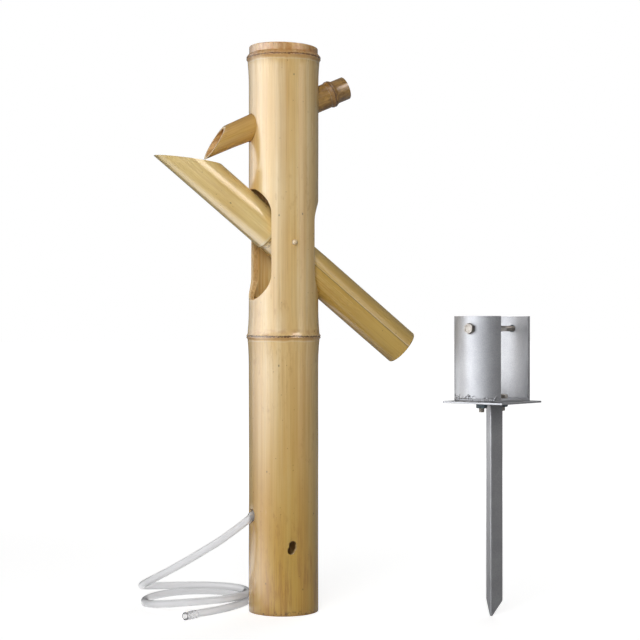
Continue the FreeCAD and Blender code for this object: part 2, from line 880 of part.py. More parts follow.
def least_gap(path):
    """Distance between the coil's own turns, skin to skin."""
    points = path.discretize(Distance=GAP_STEP)
    apart = int(5 * 2 * s.hose_radius.value / GAP_STEP)
    least = path.Length
    for number, point in enumerate(points):
        for other in points[number + apart:]:
            least = min(least, (point - other).Length)
    return least - 2 * s.hose_radius.value


def post_gap(path):
    """Distance from the coil's skin to the post's."""
    points = path.discretize(Distance=GAP_STEP)
    nearest = min(math.hypot(point.x, point.y) for point in points)
    return nearest - s.hose_radius.value - s.post_radius.value


def build_sleeve(start, heading):
    """The clear ringed sleeve on the free end, turned about the hose's own axis."""
    body = new_body("hose_end_fitting")
    profile = new_sketch(body, "XZ_Plane", "sleeve_profile")
    edges = [line(0, s.hose_bore), line(s.sleeve_length, s.hose_bore)]
    edges += [line(s.sleeve_length, s.sleeve_radius)]
    for number in range(3, 0, -1):
        middle = s.ring_spacing * number
        edges += [
            line(middle + s.ring_spacing / 4, s.sleeve_radius),
            line(middle, s.sleeve_radius + s.sleeve_ring),
            line(middle - s.ring_spacing / 4, s.sleeve_radius),
        ]
    edges += [line(0, s.sleeve_radius)]
    outline(profile, edges)
    revolve(body, profile, "H_Axis")
    turn = math.degrees(math.atan2(heading.y, heading.x))
    body.Placement = FreeCAD.Placement(start, FreeCAD.Rotation(UP, turn))
    return body


# The stake and its holder

base_top = s.plate_top + s.base_thick
plate_under = s.plate_top - s.plate_thick
shell_bore = s.post_radius + s.post_room
shell_outside = shell_bore + s.shell_thick
bolt_height = base_top + s.shell_height - s.shell_bolt_drop
arc_x = cosine(s.shell_half_angle)
arc_y = sine(s.shell_half_angle)


def stand_on_stake(body, half_turn=False):
    """Put a body, modelled about the holder's own axis, where the stake stands."""
    turn = s.holder_turn + 180 if half_turn else s.holder_turn
    place(body, s.stake_x, s.stake_y, 0, UP, turn)


def build_shell(label, half_turn):
    """A curved plate on the base, with the hole for the cross bolt."""
    body = new_body(label)
    section = new_sketch(body, "XY_Plane", label + "_section", offset=base_top)
    outline(section, [
        line(shell_outside * arc_x, -shell_outside * arc_y),
        arc(shell_outside * arc_x, shell_outside * arc_y, 0, 0, True),
        line(shell_bore * arc_x, shell_bore * arc_y),
        arc(shell_bore * arc_x, -shell_bore * arc_y, 0, 0, False),
    ])
    pad(body, section, s.shell_height)
    doc.recompute()
    hole = new_sketch(body, "YZ_Plane", label + "_hole")
    circle(hole, 0, bolt_height, s.shell_hole_radius)
    pocket(body, hole, backwards=True)
    stand_on_stake(body, half_turn)
    return body


def build_shell_weld(label, half_turn):
    """The bead along the outside of the shell's foot."""
    body = new_body(label)
    section = new_sketch(body, "XZ_Plane", label + "_section")
    outline(section, [
        line(shell_outside, base_top - s.shell_weld),
        arc(shell_outside, base_top + s.shell_weld, shell_outside, base_top, True),
    ])
    revolve(body, section, "V_Axis", angle=2 * s.weld_half_angle)
    stand_on_stake(body, half_turn)
    return body


def drill_for_plate_bolts(body):
    holes = new_sketch(body, "XY_Plane", body.Label + "_holes", offset=base_top + OVERRUN)
    circle(holes, s.plate_bolt_reach, 0, s.plate_hole_radius)
    circle(holes, -s.plate_bolt_reach, 0, s.plate_hole_radius)
    pocket(body, holes)


def build_holder_base():
    """A round plate with its two open sides cut straight."""
    body = new_body("holder_base")
    section = new_sketch(body, "XY_Plane", "holder_base_section", offset=s.plate_top)
    outline(section, [
        line(shell_outside * arc_x, -shell_outside * arc_y),
        arc(shell_outside * arc_x, shell_outside * arc_y, 0, 0, True),
        line(-shell_outside * arc_x, shell_outside * arc_y),
        arc(-shell_outside * arc_x, -shell_outside * arc_y, 0, 0, True),
    ])
    pad(body, section, s.base_thick)
    doc.recompute()
    drill_for_plate_bolts(body)
    stand_on_stake(body)
    return body


def build_stake_plate():
    body = new_body("stake_plate")
    section = new_sketch(body, "XY_Plane", "stake_plate_section", offset=plate_under)
    half = s.plate_side / 2
    outline(section, [line(-half, -half), line(half, -half), line(half, half), line(-half, half)])
    pad(body, section, s.plate_thick)
    doc.recompute()
    drill_for_plate_bolts(body)
    stand_on_stake(body)
    return body


def angle_outline(sketch, grow=None):
    """The angle section: two legs along +X and +Y from a rounded outer corner."""
    leg = s.angle_leg
    thick = s.angle_thick
    if grow is not None:
        outline(sketch, [
            line(-grow, -grow),
            line(leg + grow, -grow),
            line(leg + grow, thick + grow),
            line(thick + grow, thick + grow),
            line(thick + grow, leg + grow),
            line(-grow, leg + grow),
        ])
        return
    outline(sketch, [
        line(leg, 0),
        line(leg, thick),
        line(thick, thick),
        line(thick, leg),
        line(0, leg),
        line(0, s.angle_round),
        arc(s.angle_round, 0, s.angle_round, s.angle_round, True),
    ])


def build_stake_angle():
    """An angle section whose two legs are cut away to a point at their corner."""
    body = new_body("stake_angle")
    section = new_sketch(body, "XY_Plane", "stake_section")
    angle_outline(section)
    pad(body, section, plate_under)
    doc.recompute()
    for role, name in (("XZ_Plane", "point_one"), ("YZ_Plane", "point_two")):
        saw = new_sketch(body, role, name)
        over = s.angle_leg + OVERRUN
        slope = s.angle_point / (s.angle_leg - s.angle_thick)
        outline(saw, [
            line(s.angle_thick, 0),
            line(over, 0),
            line(over, slope * (over - s.angle_thick)),
        ])
        pocket(body, saw, both_ways=True)
    place(body, s.angle_x, s.angle_y, 0, UP, -s.angle_turn)
    return body


def build_stake_weld():
    """The bead round the top of the stake: wide on the plate and thin on the stake."""
    body = new_body("stake_weld")
    wide = new_sketch(body, "XY_Plane", "weld_wide", offset=plate_under)
    angle_outline(wide, s.stake_weld)
    thin = new_sketch(body, "XY_Plane", "weld_thin", offset=plate_under - s.stake_weld)
    angle_outline(thin, s.weld_toe)
    loft = body.newObject("PartDesign::AdditiveLoft", "weld_loft")
    loft.Profile = wide
    loft.Sections = [thin]
    loft.Ruled = True
    doc.recompute()
    inside = new_sketch(body, "XY_Plane", "weld_inside", offset=plate_under + OVERRUN)
    angle_outline(inside)
    pocket(body, inside)
    place(body, s.angle_x, s.angle_y, 0, UP, -s.angle_turn)
    return body


# The fasteners


def build_bolt(label, role, x, y, seat, head_up, length):
    """A hexagon bolt along the normal of one plane, its head's seat at the given place."""
    body = new_body(label)
    head = new_sketch(body, role, label + "_head", offset=seat)
    hexagon(head, x, y, s.hex_across)
    pad(body, head, s.head_height, backwards=not head_up)
    shank = new_sketch(body, role, label + "_shank", offset=seat)
    circle(shank, x, y, s.bolt_radius)
    pad(body, shank, length, backwards=head_up)
    return body


def build_nut(label, role, x, y, seat, grows_up):
    """A hexagon nut whose bearing face is at the given place."""
    body = new_body(label)
    section = new_sketch(body, role, label + "_section", offset=seat)
    hexagon(section, x, y, s.hex_across)
    circle(section, x, y, s.bolt_radius + s.nut_play)
    pad(body, section, s.nut_height, backwards=not grows_up)
    return body


def build_fasteners():
    """Two bolts hold the holder on the stake, and one goes through both shells."""
    grip = s.base_thick + s.plate_thick
    for side, name in ((-1, "front"), (1, "back")):
        reach = side * s.plate_bolt_reach
        length = grip + s.nut_height + s.plate_bolt_tail
        bolt = build_bolt("plate_bolt_" + name, "XY_Plane", reach, 0, base_top, True, length)
        stand_on_stake(bolt)
        nut = build_nut("plate_nut_" + name, "XY_Plane", reach, 0, plate_under, False)
        stand_on_stake(nut)
    seat = shell_outside + s.bolt_seat
    length = 2 * seat + s.nut_height + s.cross_bolt_tail
    bolt = build_bolt("cross_bolt", "YZ_Plane", 0, bolt_height, -seat, False, length)
    stand_on_stake(bolt)
    nut = build_nut("cross_nut", "YZ_Plane", 0, bolt_height, seat, True)
    stand_on_stake(nut)


build_post()
build_rocker()
build_pin()
build_spout()
sleeve_start, sleeve_heading = build_hose()
build_sleeve(sleeve_start, sleeve_heading)
build_stake_angle()
build_stake_plate()
build_stake_weld()
build_holder_base()
build_shell("front_shell", True)
build_shell("back_shell", False)
build_shell_weld("front_shell_weld", True)
build_shell_weld("back_shell_weld", False)
build_fasteners()
doc.recompute()

for item in doc.Objects:
    if "Invalid" in item.State or "Error" in item.State:
        raise RuntimeError("%s did not rebuild: %s" % (item.Label, item.State))
os.makedirs("parts", exist_ok=True)
for node in nodes:
    if node.Shape.isNull() or not node.Shape.isValid():
        raise RuntimeError("%s has no valid shape" % node.Label)
    if not node.Shape.Solids:
        raise RuntimeError("%s has no solid" % node.Label)
for node in nodes:
    node.Shape.exportStep("parts/%s.step" % node.Label)
    print("%s: %d solid, %.0f mm3" % (node.Label, len(node.Shape.Solids), node.Shape.Volume))
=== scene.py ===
"""A shishi odoshi: a bamboo post with its rocking tube, spout and hose, and its ground stake.

Metres. The origin is the centre of the post's foot, +Z is up, and +X points along the rocker
towards its tail.
"""

import logging
import math
import random
from dataclasses import dataclass
from enum import Enum
from functools import reduce
from typing import Any, Sequence

import bmesh
import bpy
from mathutils import Euler, Matrix, Vector, noise


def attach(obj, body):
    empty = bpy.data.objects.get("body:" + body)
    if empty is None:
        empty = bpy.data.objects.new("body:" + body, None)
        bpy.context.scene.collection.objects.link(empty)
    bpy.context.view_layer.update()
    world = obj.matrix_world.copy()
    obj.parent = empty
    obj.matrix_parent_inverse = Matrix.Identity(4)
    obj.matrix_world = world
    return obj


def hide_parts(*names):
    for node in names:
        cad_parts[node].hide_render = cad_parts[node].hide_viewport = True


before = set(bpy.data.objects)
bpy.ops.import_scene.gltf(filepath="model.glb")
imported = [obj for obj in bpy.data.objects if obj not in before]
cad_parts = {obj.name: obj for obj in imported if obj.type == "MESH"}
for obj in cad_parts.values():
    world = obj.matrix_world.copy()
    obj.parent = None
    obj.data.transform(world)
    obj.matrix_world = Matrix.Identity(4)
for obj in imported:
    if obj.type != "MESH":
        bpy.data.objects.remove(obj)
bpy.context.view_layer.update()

log = logging.getLogger("shishi_odoshi")

MM = 0.001
WHITE = (1.0, 1.0, 1.0, 1.0)
Pair = tuple[float, float]
Point = tuple[float, float, float]
Socket = bpy.types.NodeSocket
Tree = bpy.types.NodeTree
Material = bpy.types.Material
Shape = bmesh.types.BMesh


class Body(Enum):
    """The rigid bodies that a piece can ride on."""

    POST = "post"
    ROCKER = "rocker"


class Slot(Enum):
    """The record's material slots."""

    POST_BAMBOO = "post_bamboo"
    ROCKER_BAMBOO = "rocker_bamboo"
    PIN_BAMBOO = "pin_bamboo"
    SPOUT_BAMBOO = "spout_bamboo"
    CLEAR_HOSE = "clear_hose"
    PAINTED_STEEL = "painted_steel"
    BOLT_STEEL = "bolt_steel"
    ZINC_NUT = "zinc_nut"


@dataclass(frozen=True)
class Axis:
    """A local frame: where its origin is, and how it is turned, in degrees about X, Y and Z."""

    origin: Point = (0.0, 0.0, 0.0)
    turn: Point = (0.0, 0.0, 0.0)

    def radians(self) -> list[float]:
        """The turn in radians."""
        return [math.radians(angle) for angle in self.turn]

    def matrix(self) -> Matrix:
        """The matrix from this local frame to the part's own frame."""
        return Matrix.Translation(self.origin) @ Euler(self.radians()).to_matrix().to_4x4()


UPRIGHT = Axis()
PIVOT = (0.0, 0.0, 0.3901)
ROCKER_AXIS = Axis(PIVOT, (0.0, 129.3, 0.0))
PIN_AXIS = Axis(PIVOT, (90.0, 0.0, 0.0))
SPOUT_AXIS = Axis((0.0, 0.0, 0.5287), (0.0, 66.1, 0.0))
HOLDER_AXIS = Axis((0.201, -0.0914, 0.0), (0.0, 0.0, 30.6))
HOLDER_BASE_TOP = 226.3 * MM
POST_MIDDLE = (0.0, 0.0, 0.3)


def linear(code: str) -> tuple[float, float, float, float]:
    """Turn an sRGB hex colour into the linear colour that a shader takes.

    Args:
        code: The colour as six hex digits.

    Returns:
        Red, green and blue, linear, and an alpha of 1.
    """
    parts = [int(code[at:at + 2], 16) / 255 for at in (0, 2, 4)]
    light = [part / 12.92 if part <= 0.04045 else ((part + 0.055) / 1.055) ** 2.4 for part in parts]
    return (light[0], light[1], light[2], 1.0)


def feed(tree: Tree, socket: Socket, value: Any) -> None:
    """Link an input to the socket that feeds it, or set its value.

    Args:
        tree: The node tree that holds the input.
        socket: The input.
        value: Another socket or a plain value.
    """
    if isinstance(value, Socket):
        tree.links.new(value, socket)
    else:
        socket.default_value = value


def add(tree: Tree, kind: str, inputs: dict[Any, Any] | None = None,
        stops: Sequence[tuple[float, str]] = (), **settings: Any) -> bpy.types.Node:
    """Add a shader node, set its properties and set or link its inputs.

    Args:
        tree: The node tree to add to.
        kind: The node's type name, without the ShaderNode that each starts with.
        inputs: An input's name or number to a value, or to the socket that feeds it.
        stops: A colour ramp's places and hex colours.
        **settings: The node's own properties.

    Returns:
        The new node.
    """
    made = tree.nodes.new("ShaderNode" + kind)
    for name, setting in settings.items():
        setattr(made, name, setting)
    for key, value in (inputs or {}).items():
        feed(tree, made.inputs[key], value)
    for number, (place, code) in enumerate(stops):
        ramp = made.color_ramp.elements
        stop = ramp[number] if number < 2 else ramp.new(place)
        stop.position = place
        stop.color = linear(code)
    return made


class Graph:
    """A node tree under construction, with short ways to work out shares, 0 to 1."""

    def __init__(self, tree: Tree) -> None:
        """Take up a node tree."""
        self.tree = tree

    def put(self, kind: str, *values: Any, **settings: Any) -> Socket:
        """Add a node with its first inputs in their order, and give its first output."""
        return add(self.tree, kind, dict(enumerate(values)), **settings).outputs[0]

    def product(self, *shares: Any) -> Any:
        """Some numbers and sockets multiplied."""
        return reduce(lambda first, second: self.put("Math", first, second, operation="MULTIPLY"), shares)

    def total(self, start: float, *pairs: tuple[Socket, float]) -> Any:
        """Add some sockets, each times its own weight, to a start value.

        Args:
            start: The start value.
            *pairs: Each socket with its weight.

        Returns:
            The sum's socket.
        """
        running: Any = start
        for value, weight in pairs:
            running = self.put("Math", value, weight, running, operation="MULTIPLY_ADD")
        return running

    def gap(self, value: Socket, at: float) -> Socket:
        """How far a value is from a fixed one."""
        return self.put("Math", self.put("Math", value, at, operation="SUBTRACT"), operation="ABSOLUTE")

    def fade(self, value: Socket, low: float, high: float, first: float = 0.0, last: float = 1.0) -> Socket:
        """A smooth run from first, where value is low, to last, where it is high; high may be less."""
        return self.put("MapRange", value, low, high, first, last, interpolation_type="SMOOTHSTEP")

    def coat(self, share: Any, under: Any, over: Any, blend: str = "MIX") -> Socket:
        """Lay one colour over another, each of them a hex code or a socket.

        Args:
            share: How much of the upper colour shows.
            under: The lower colour.
            over: The upper colour.
            blend: How the two are mixed.

        Returns:
            The mixed colour.
        """
        first, second = (linear(tone) if isinstance(tone, str) else tone for tone in (under, over))
        return add(self.tree, "Mix", {0: share, 6: first, 7: second}, data_type="RGBA",
                   blend_type=blend).outputs[2]

    def backdrop_share(self) -> Socket:
        """A share that is 1 for camera, glossy and transmission rays.

        Returns:
            The share.
        """
        path = add(self.tree, "LightPath").outputs
        seen = self.put("Math", path["Is Camera Ray"], path["Is Glossy Ray"], operation="MAXIMUM")
        return self.put("Math", seen, path["Is Transmission Ray"], operation="MAXIMUM")

    def gloss_share(self) -> Socket:
        """A share that is 1 for glossy rays that haven't gone through a clear piece.

        Returns:
            The share.
        """
        path = add(self.tree, "LightPath").outputs
        passed = self.put("Math", path["Transmission Depth"], 1.0, operation="MINIMUM")
        return self.put("Math", path["Is Glossy Ray"], passed, operation="SUBTRACT", use_clamp=True)

    def gloss_level(self, level: Any) -> Socket:
        """A brightness that is 1, but has its own level for gloss."""
        return add(self.tree, "Mix", {0: self.gloss_share(), 2: 1.0, 3: level}).outputs[0]


class Shader(Graph):
    """A finish under construction, whose patterns have their real size in a local frame."""

    def __init__(self, name: str, axis: Axis = UPRIGHT, seed: float = 0.0) -> None:
        """Start a material.

        Args:
            name: The material's name.
            axis: The local frame, whose Z runs along the piece.
            seed: Moves all its patterns.
        """
        self.material = bpy.data.materials.new(name)
        self.material.use_nodes = True
        super().__init__(self.material.node_tree)
        self.seed = seed
        place = add(self.tree, "TexCoord").outputs["Object"]
        self.place = self.put("Mapping", place, axis.origin, axis.radians(), vector_type="TEXTURE")

    def cells(self, across: float, along: float, shift: Point) -> Socket:
        """The local place counted in cells, whose width and length are in millimetres."""
        scale = (1 / (across * MM), 1 / (across * MM), 1 / (along * MM))
        return add(self.tree, "Mapping", {0: self.place, 1: shift, 3: scale}).outputs[0]

    def grain(self, across: float, along: float, detail: float = 2.0, seed: float = 0.0,
              rough: float = 0.5) -> Socket:
        """Noise whose blobs are drawn out along the local Z.

        Args:
            across: The blobs' width in millimetres.
            along: Their length in millimetres.
            detail: How many finer layers it has.
            seed: Moves the pattern.
            rough: How strong the finer layers are.

        Returns:
            The noise value, about 0.5 on average.
        """
        seed += self.seed
        return add(self.tree, "TexNoise", {
            "Vector": self.cells(across, along, (seed, seed * 2, seed * 3)), "Scale": 1.0,
            "Detail": detail, "Roughness": rough,
        }).outputs[0]

    def finish(self, relief: Socket | None = None, depth: float = 0.0, **values: Any) -> Material:
        """Set or link the surface's sockets.

        Args:
            relief: The surface's relief, 0 to 1.
            depth: The relief's real depth in millimetres.
            **values: The sockets, named with underscores for spaces.

        Returns:
            The finished material.
        """
        if relief is not None:
            values["Normal"] = add(self.tree, "Bump", {"Height": relief, "Distance": depth * MM}).outputs[0]
        surface = self.tree.nodes["Principled BSDF"]
        for name, value in values.items():
            feed(self.tree, surface.inputs[name.replace("_", " ")], value)
        return self.material


@dataclass(frozen=True)
class Bamboo:
    """Dried bamboo culm: a hard waxy skin with fine fibres along it, over pale cut wood.

    Heights are along the culm's own axis, brown_and_shade_span and aged run from one height to another,
    turns are in radians about the axis, and the skin's depth is in millimetres.
    """

    name: str
    axis: Axis
    radius: float
    bore: float
    pale: str
    straw: str
    deep: str
    inside: tuple[str, str] = ("94703A", "C39B5C")
    node_heights: tuple[float, ...] = ()
    foot_stain: float = 0.0
    stain_turn: float = -2.2
    tint_and_shade: tuple[float, float, str] | None = None
    brown_and_shade_span: Pair | None = None
    brown: str = "A8703A"
    lip: float | None = None
    crack: float | None = None
    gloss: float = 0.38
    seed: float = 0.0
    skin_depth: float = 0.9
    stripes: float = 0.5
    spotty: float = 0.4

    def material(self) -> Material:
        """Build the culm's material."""
        return CulmShader(self).build()


class CulmShader(Shader):
    """A bamboo finish under construction: its skin is painted coat by coat."""

    def __init__(self, bamboo: Bamboo) -> None:
        """Work out the place along, across and round the culm.

        Args:
            bamboo: The bamboo to build.
        """
        super().__init__(bamboo.name, bamboo.axis, bamboo.seed)
        self.bamboo = bamboo
        self.across, side, self.height = add(self.tree, "SeparateXYZ", {0: self.place}).outputs
        self.turn = self.put("Math", side, self.across, operation="ARCTAN2")
        flat = self.put("CombineXYZ", self.across, side)
        self.radius = add(self.tree, "VectorMath", {0: flat}, operation="LENGTH").outputs["Value"]
        self.colour: Any = bamboo.straw

    def paint(self, tone: Any, *shares: Any, blend: str = "MIX") -> None:
        """Lay a coat over the colour so far, by the product of some shares."""
        self.colour = self.coat(self.product(*shares), self.colour, tone, blend)

    def build(self) -> Material:
        """Paint the skin and tell skin, cut wood and inner wall apart by distance from the axis.

        Returns:
            The finished material.
        """
        bamboo = self.bamboo
        # Tone bands 13 mm wide, a slow drift down the culm, and fibres 2.4 and 1.2 mm apart.
        fine = self.grain(1.2, 120, 4, rough=0.6)
        tone = self.total(0.0, (self.grain(13, 420, 3, 3), bamboo.stripes),
                          (self.grain(50, 110, 3, 5), 0.8 - bamboo.stripes),
                          (self.grain(2.4, 210, 3, 1), 0.2))
        stops = ((0.34, bamboo.pale), (0.5, bamboo.straw), (0.7, bamboo.deep))
        self.colour = self.put("ValToRGB", tone, stops=stops)
        fibres = self.put("ValToRGB", fine, stops=((0.3, "D0B48A"), (0.6, "FFFFFF")))
        self.paint(fibres, 0.3, blend="MULTIPLY")
        self.mottle()
        self.speckle((13.0, 20.0), 0.085, 0.62, "5B4122")
        self.speckle((6.0, 9.0), 0.1, 0.5, "9A6A38")
        for at in bamboo.node_heights:
            self.mark_node(at)
        # Darker towards one end: painted shade over the rocker's tail, and on the post a foot that is more
        # golden in its own colour and darker as painted shade.
        if bamboo.tint_and_shade:
            low, high, shade = bamboo.tint_and_shade
            self.paint(shade, self.fade(self.height, low, high), blend="MULTIPLY")
        if bamboo.foot_stain:
            self.stain_foot(bamboo.foot_stain)
        if bamboo.brown_and_shade_span:
            self.paint_brown_and_shade(*bamboo.brown_and_shade_span)
        if bamboo.lip:
            self.mark_lip(bamboo.lip)
        if bamboo.crack:
            self.draw_crack(bamboo.crack)

        # Cut wood shows mottled 1.8 mm fibre ends, with a painted highlight over its outer 1.5 mm where the
        # sawn edge catches the light, and the inner wall 3 mm streaks.
        ends = self.put("ValToRGB", self.grain(1.8, 4, 5, 17, 0.7),
                        stops=((0.32, "B48646"), (0.5, "D6AE70"), (0.7, "E8CA92")))
        painted_edge_highlight = self.fade(self.radius, bamboo.radius - 2.2 * MM, bamboo.radius - 0.8 * MM)
        cut = self.coat(self.product(painted_edge_highlight, 0.85), ends, "F6E6C0")
        inside = self.put("ValToRGB", self.grain(3, 60, 3, 19),
                          stops=((0.35, bamboo.inside[0]), (0.65, bamboo.inside[1])))
        hollow = self.fade(self.radius, bamboo.bore + 0.5 * MM, bamboo.bore + 0.2 * MM)
        wood = self.coat(hollow, cut, inside)
        low = bamboo.radius - bamboo.skin_depth * MM
        skin = self.fade(self.radius, low, low + 0.3 * MM)

        # The wax lies unevenly in 30 mm clouds, and the relief is 0.07 mm deep.
        rough = self.total(0.52, (fine, 0.06), (self.grain(30, 60, 3, 37), 0.14), (skin, -bamboo.gloss))
        relief = self.total(0.0, (self.grain(2.8, 190, 1, 1), 0.45), (self.grain(10, 45, 1, 23), 0.55))
        return self.finish(relief, 0.07, Base_Color=self.coat(skin, wood, self.colour), Roughness=rough,
                           IOR=1.6, Specular_IOR_Level=0.95)

    def mottle(self) -> None:
        """Spread soft orange-brown blotches of 5 by 16 mm and fine lines over some stretches."""
        spots = self.fade(self.grain(5, 16, 6, 8, 0.68), 0.52, 0.7)
        where = self.fade(self.grain(40, 80, 2, 11), 0.44, 0.6)
        self.paint("B98442", spots, where, self.bamboo.spotty)
        lines = self.fade(self.grain(1.6, 60, 4, 13, 0.65), 0.6, 0.7)
        self.paint("B07F45", lines, 0.75 * self.bamboo.spotty)

    def speckle(self, cell: Pair, size: float, empty: float, tone: str) -> None:
        """Scatter dark specks, at most one in a cell.

        Args:
            cell: The cell's width and length in millimetres.
            size: A speck's radius as a share of the cell.
            empty: The share of cells left empty.
            tone: The specks' colour.
        """
        place = self.cells(*cell, (self.seed, 0.0, 0.0))
        found = add(self.tree, "TexVoronoi", {"Vector": place, "Scale": 1.0}).outputs
        dot = self.fade(found["Distance"], size, 0.35 * size)
        chance = self.put("SeparateColor", found["Color"])
        self.paint(tone, dot, self.fade(chance, empty, empty + 0.04), 0.7)

    def band(self, off: Socket, low: float, high: float, soft: float) -> Socket:
        """A soft band: 1 where off lies from low to high millimetres, faded over soft."""
        rise = self.fade(off, (low - soft) * MM, (low + soft) * MM)
        return self.product(rise, self.fade(off, (high + soft) * MM, (high - soft) * MM))

    def mark_node(self, at: float) -> None:
        """Colour a node: a frayed dark scar line, a warm band round it and a pale line below.

        Args:
            at: The node's height.
        """
        wander = 2.6 * MM
        off = self.total(-at - wander / 2, (self.height, 1.0), (self.grain(14, 14, seed=29), wander))
        patch = self.fade(self.grain(7, 5, 4, 41), 0.34, 0.6)
        self.paint("BE8648", self.band(off, -4.2, 7.0, 2.0), patch, 0.45)
        self.paint("CB9650", self.band(off, -3.8, -0.6, 0.6), 0.55)
        self.paint("F0DDB5", self.band(off, -5.6, -4.8, 0.4), 0.5)
        frayed = self.fade(self.grain(2.2, 2.2, 4, 43, 0.7), 0.35, 0.65)
        far = self.total(0.0, (self.gap(off, 0.0), 1.0), (frayed, -0.8 * MM))
        self.paint("4A3119", self.fade(far, 0.75 * MM, -0.1 * MM), 0.9)

    def mark_lip(self, at: float) -> None:
        """Colour the rocker's node: a pale lip, a brown groove, a rough scaly band behind it, and painted
        warm shade on its upper side towards the mouth.

        Args:
            at: The lip's height.
        """
        radius = self.bamboo.radius
        off = self.put("Math", self.height, at, operation="SUBTRACT")
        above = self.fade(self.across, -0.2 * radius, -0.8 * radius)
        # Painted shade with a warm painted reflection, on the upper side towards the mouth, next to the
        # post's slot.
        self.paint("A86E28", self.band(off, -17, -3, 4.0), above, 0.6)
        scales = self.fade(self.grain(2.4, 1.6, 5, 47, 0.7), 0.42, 0.62)
        self.paint("8A6638", self.band(off, 1.2, 6.0, 0.7), scales, 0.75)
        self.paint("E6D19A", self.band(off, -2.2, -0.4, 0.5), 0.75)
        self.paint("6E4F28", self.band(off, 0.2, 0.9, 0.4), 0.8)

    def stain_foot(self, top: float) -> None:
        """Streak the foot with the orange-brown stain that damp ground leaves, and nick its edge.

        Args:
            top: The height that the stain reaches.
        """
        near = self.fade(self.height, top, 0.1 * top)
        side = self.fade(self.gap(self.turn, self.bamboo.stain_turn), 0.75, 0.25)
        patches = self.total(0.0, (self.grain(22, 100, 2, 61), 1.0), (side, 0.08))
        streaks = self.fade(self.grain(2.6, 40, 6, 31, 0.7), 0.44, 0.6)
        self.paint("A8702E", near, streaks, self.fade(patches, 0.55, 0.64), 0.6)
        self.paint("8A5E2E", self.fade(self.height, 4 * MM, 0.5 * MM), 0.4)
        nicks = self.fade(self.grain(5, 6, 4, 71, 0.7), 0.54, 0.62)
        self.paint("5A3D1C", nicks, self.fade(self.height, 7 * MM, 1.5 * MM), 0.75)

    def paint_brown_and_shade(self, low: float, high: float) -> None:
        """Turn one end of the culm reddish brown and mottled: on the post as where the sheath sat, on the
        spout's back stub browner and darker as painted shade.

        Args:
            low: The height where the brown starts.
            high: The height where it is full.
        """
        zone = self.fade(self.height, low, high)
        patches = self.fade(self.grain(4, 7, 6, 53, 0.66), 0.3, 0.66)
        self.paint(self.bamboo.brown, zone, self.total(0.2, (patches, 0.6)))
        checks = self.fade(self.grain(1.3, 16, 2, 67), 0.64, 0.7)
        self.paint("5E4020", checks, zone, 0.6)

    def draw_crack(self, at: float) -> None:
        """Draw the fine dark crack that runs along the tail, with a pale line beside it.

        Args:
            at: The crack's turn about the axis.
        """
        wander = 0.02
        off = self.total(-at - wander / 2, (self.turn, 1.0), (self.grain(8, 26, seed=59), wander))
        along = self.fade(self.height, 8 * MM, 24 * MM)
        self.paint("EAD9AE", self.fade(self.gap(off, -0.05), 0.04, 0.012), along, 0.35)
        self.paint("5A4220", self.fade(self.gap(off, 0.0), 0.03, 0.008), along, 0.65)


@dataclass(frozen=True)
class ClearVinyl:
    """Clear PVC hose, extruded: milky grey, darker where light goes along the wall, with painted shade
    towards its outline.
    """

    name: str
    density: float = 50.0
    roughness: float = 0.3
    clear: float = 0.84
    face: str = "F6F6F7"
    painted_rim_shade: str = "4C4D50"
    painted_rim_reach: Pair = (0.68, 0.96)
    wall_tint: str = "B0B1B4"
    index: float = 1.12

    def material(self) -> Material:
        """Build the clear material, grey through its wall.

        Returns:
            The finished material.
        """
        shade = Shader(self.name)
        facing = add(shade.tree, "LayerWeight", {"Blend": 0.5}).outputs["Facing"]
        # Painted shade: the base colour darkens towards the outline by viewing angle, for the dark edges of
        # a clear tube.
        tint = shade.coat(shade.fade(facing, *self.painted_rim_reach), self.face, self.painted_rim_shade)
        volume = shade.put("VolumeAbsorption", linear(self.wall_tint), self.density)
        shade.tree.links.new(volume, shade.tree.nodes["Material Output"].inputs["Volume"])
        return shade.finish(Base_Color=tint, Roughness=self.roughness, IOR=self.index,
                            Transmission_Weight=self.clear, Coat_Weight=0.3, Coat_Roughness=0.1,
                            Coat_IOR=1.5)


@dataclass(frozen=True)
class SilverPaint:
    """Mild steel sprayed with silver paint: aluminium flake in lacquer, finely grained."""

    name: str
    dark: str
    light: str

    def material(self) -> Material:
        """Build the paint.

        Returns:
            The finished material.
        """
        shade = Shader(self.name)
        # Spray grain of 1 mm, coarser than the real 0.2 mm so that it shows, in 26 mm clouds.
        grain = shade.grain(1.0, 1.0, 3)
        tone = shade.total(0.0, (grain, 0.55), (shade.grain(26, 26, 3, 4), 0.45))
        colour = shade.put("ValToRGB", tone, stops=((0.36, self.dark), (0.64, self.light)))
        return shade.finish(grain, 0.05, Base_Color=colour, Metallic=0.8,
                            Roughness=shade.total(0.43, (grain, 0.12)))


@dataclass(frozen=True)
class BoltMetal:
    """Bare or plated bolt steel: rolled threads, turned faces and a little tarnish."""

    name: str
    clean: str
    dull: str
    roughness: float

    def material(self) -> Material:
        """Build the metal, tarnished in 3 mm patches over a 0.5 mm grain.

        Returns:
            The finished material.
        """
        shade = Shader(self.name)
        tarnish = shade.grain(3, 3, 4, rough=0.65)
        colour = shade.put("ValToRGB", tarnish, stops=((0.35, self.clean), (0.7, self.dull)))
        return shade.finish(shade.grain(0.5, 0.5), 0.02, Base_Color=colour, Metallic=1.0,
                            Roughness=shade.total(self.roughness, (tarnish, 0.15)))


def clamped(value: float) -> float:
    """A value held between 0 and 1."""
    return min(1.0, max(0.0, value))


def new_object(name: str, data: Any) -> bpy.types.Object:
    """Put a mesh, curve, lamp or camera in the scene.

    Args:
        name: The object's name.
        data: What it shows.

    Returns:
        The object, at the origin.
    """
    made = bpy.data.objects.new(name, data)
    bpy.context.scene.collection.objects.link(made)
    return made


def to_mesh(name: str, shape: Shape) -> bpy.types.Mesh:
    """Turn a bmesh into a mesh.

    Args:
        name: The mesh's name.
        shape: The bmesh, freed here.

    Returns:
        The mesh.
    """
    mesh = bpy.data.meshes.new(name)
    shape.to_mesh(mesh)
    shape.free()
    return mesh


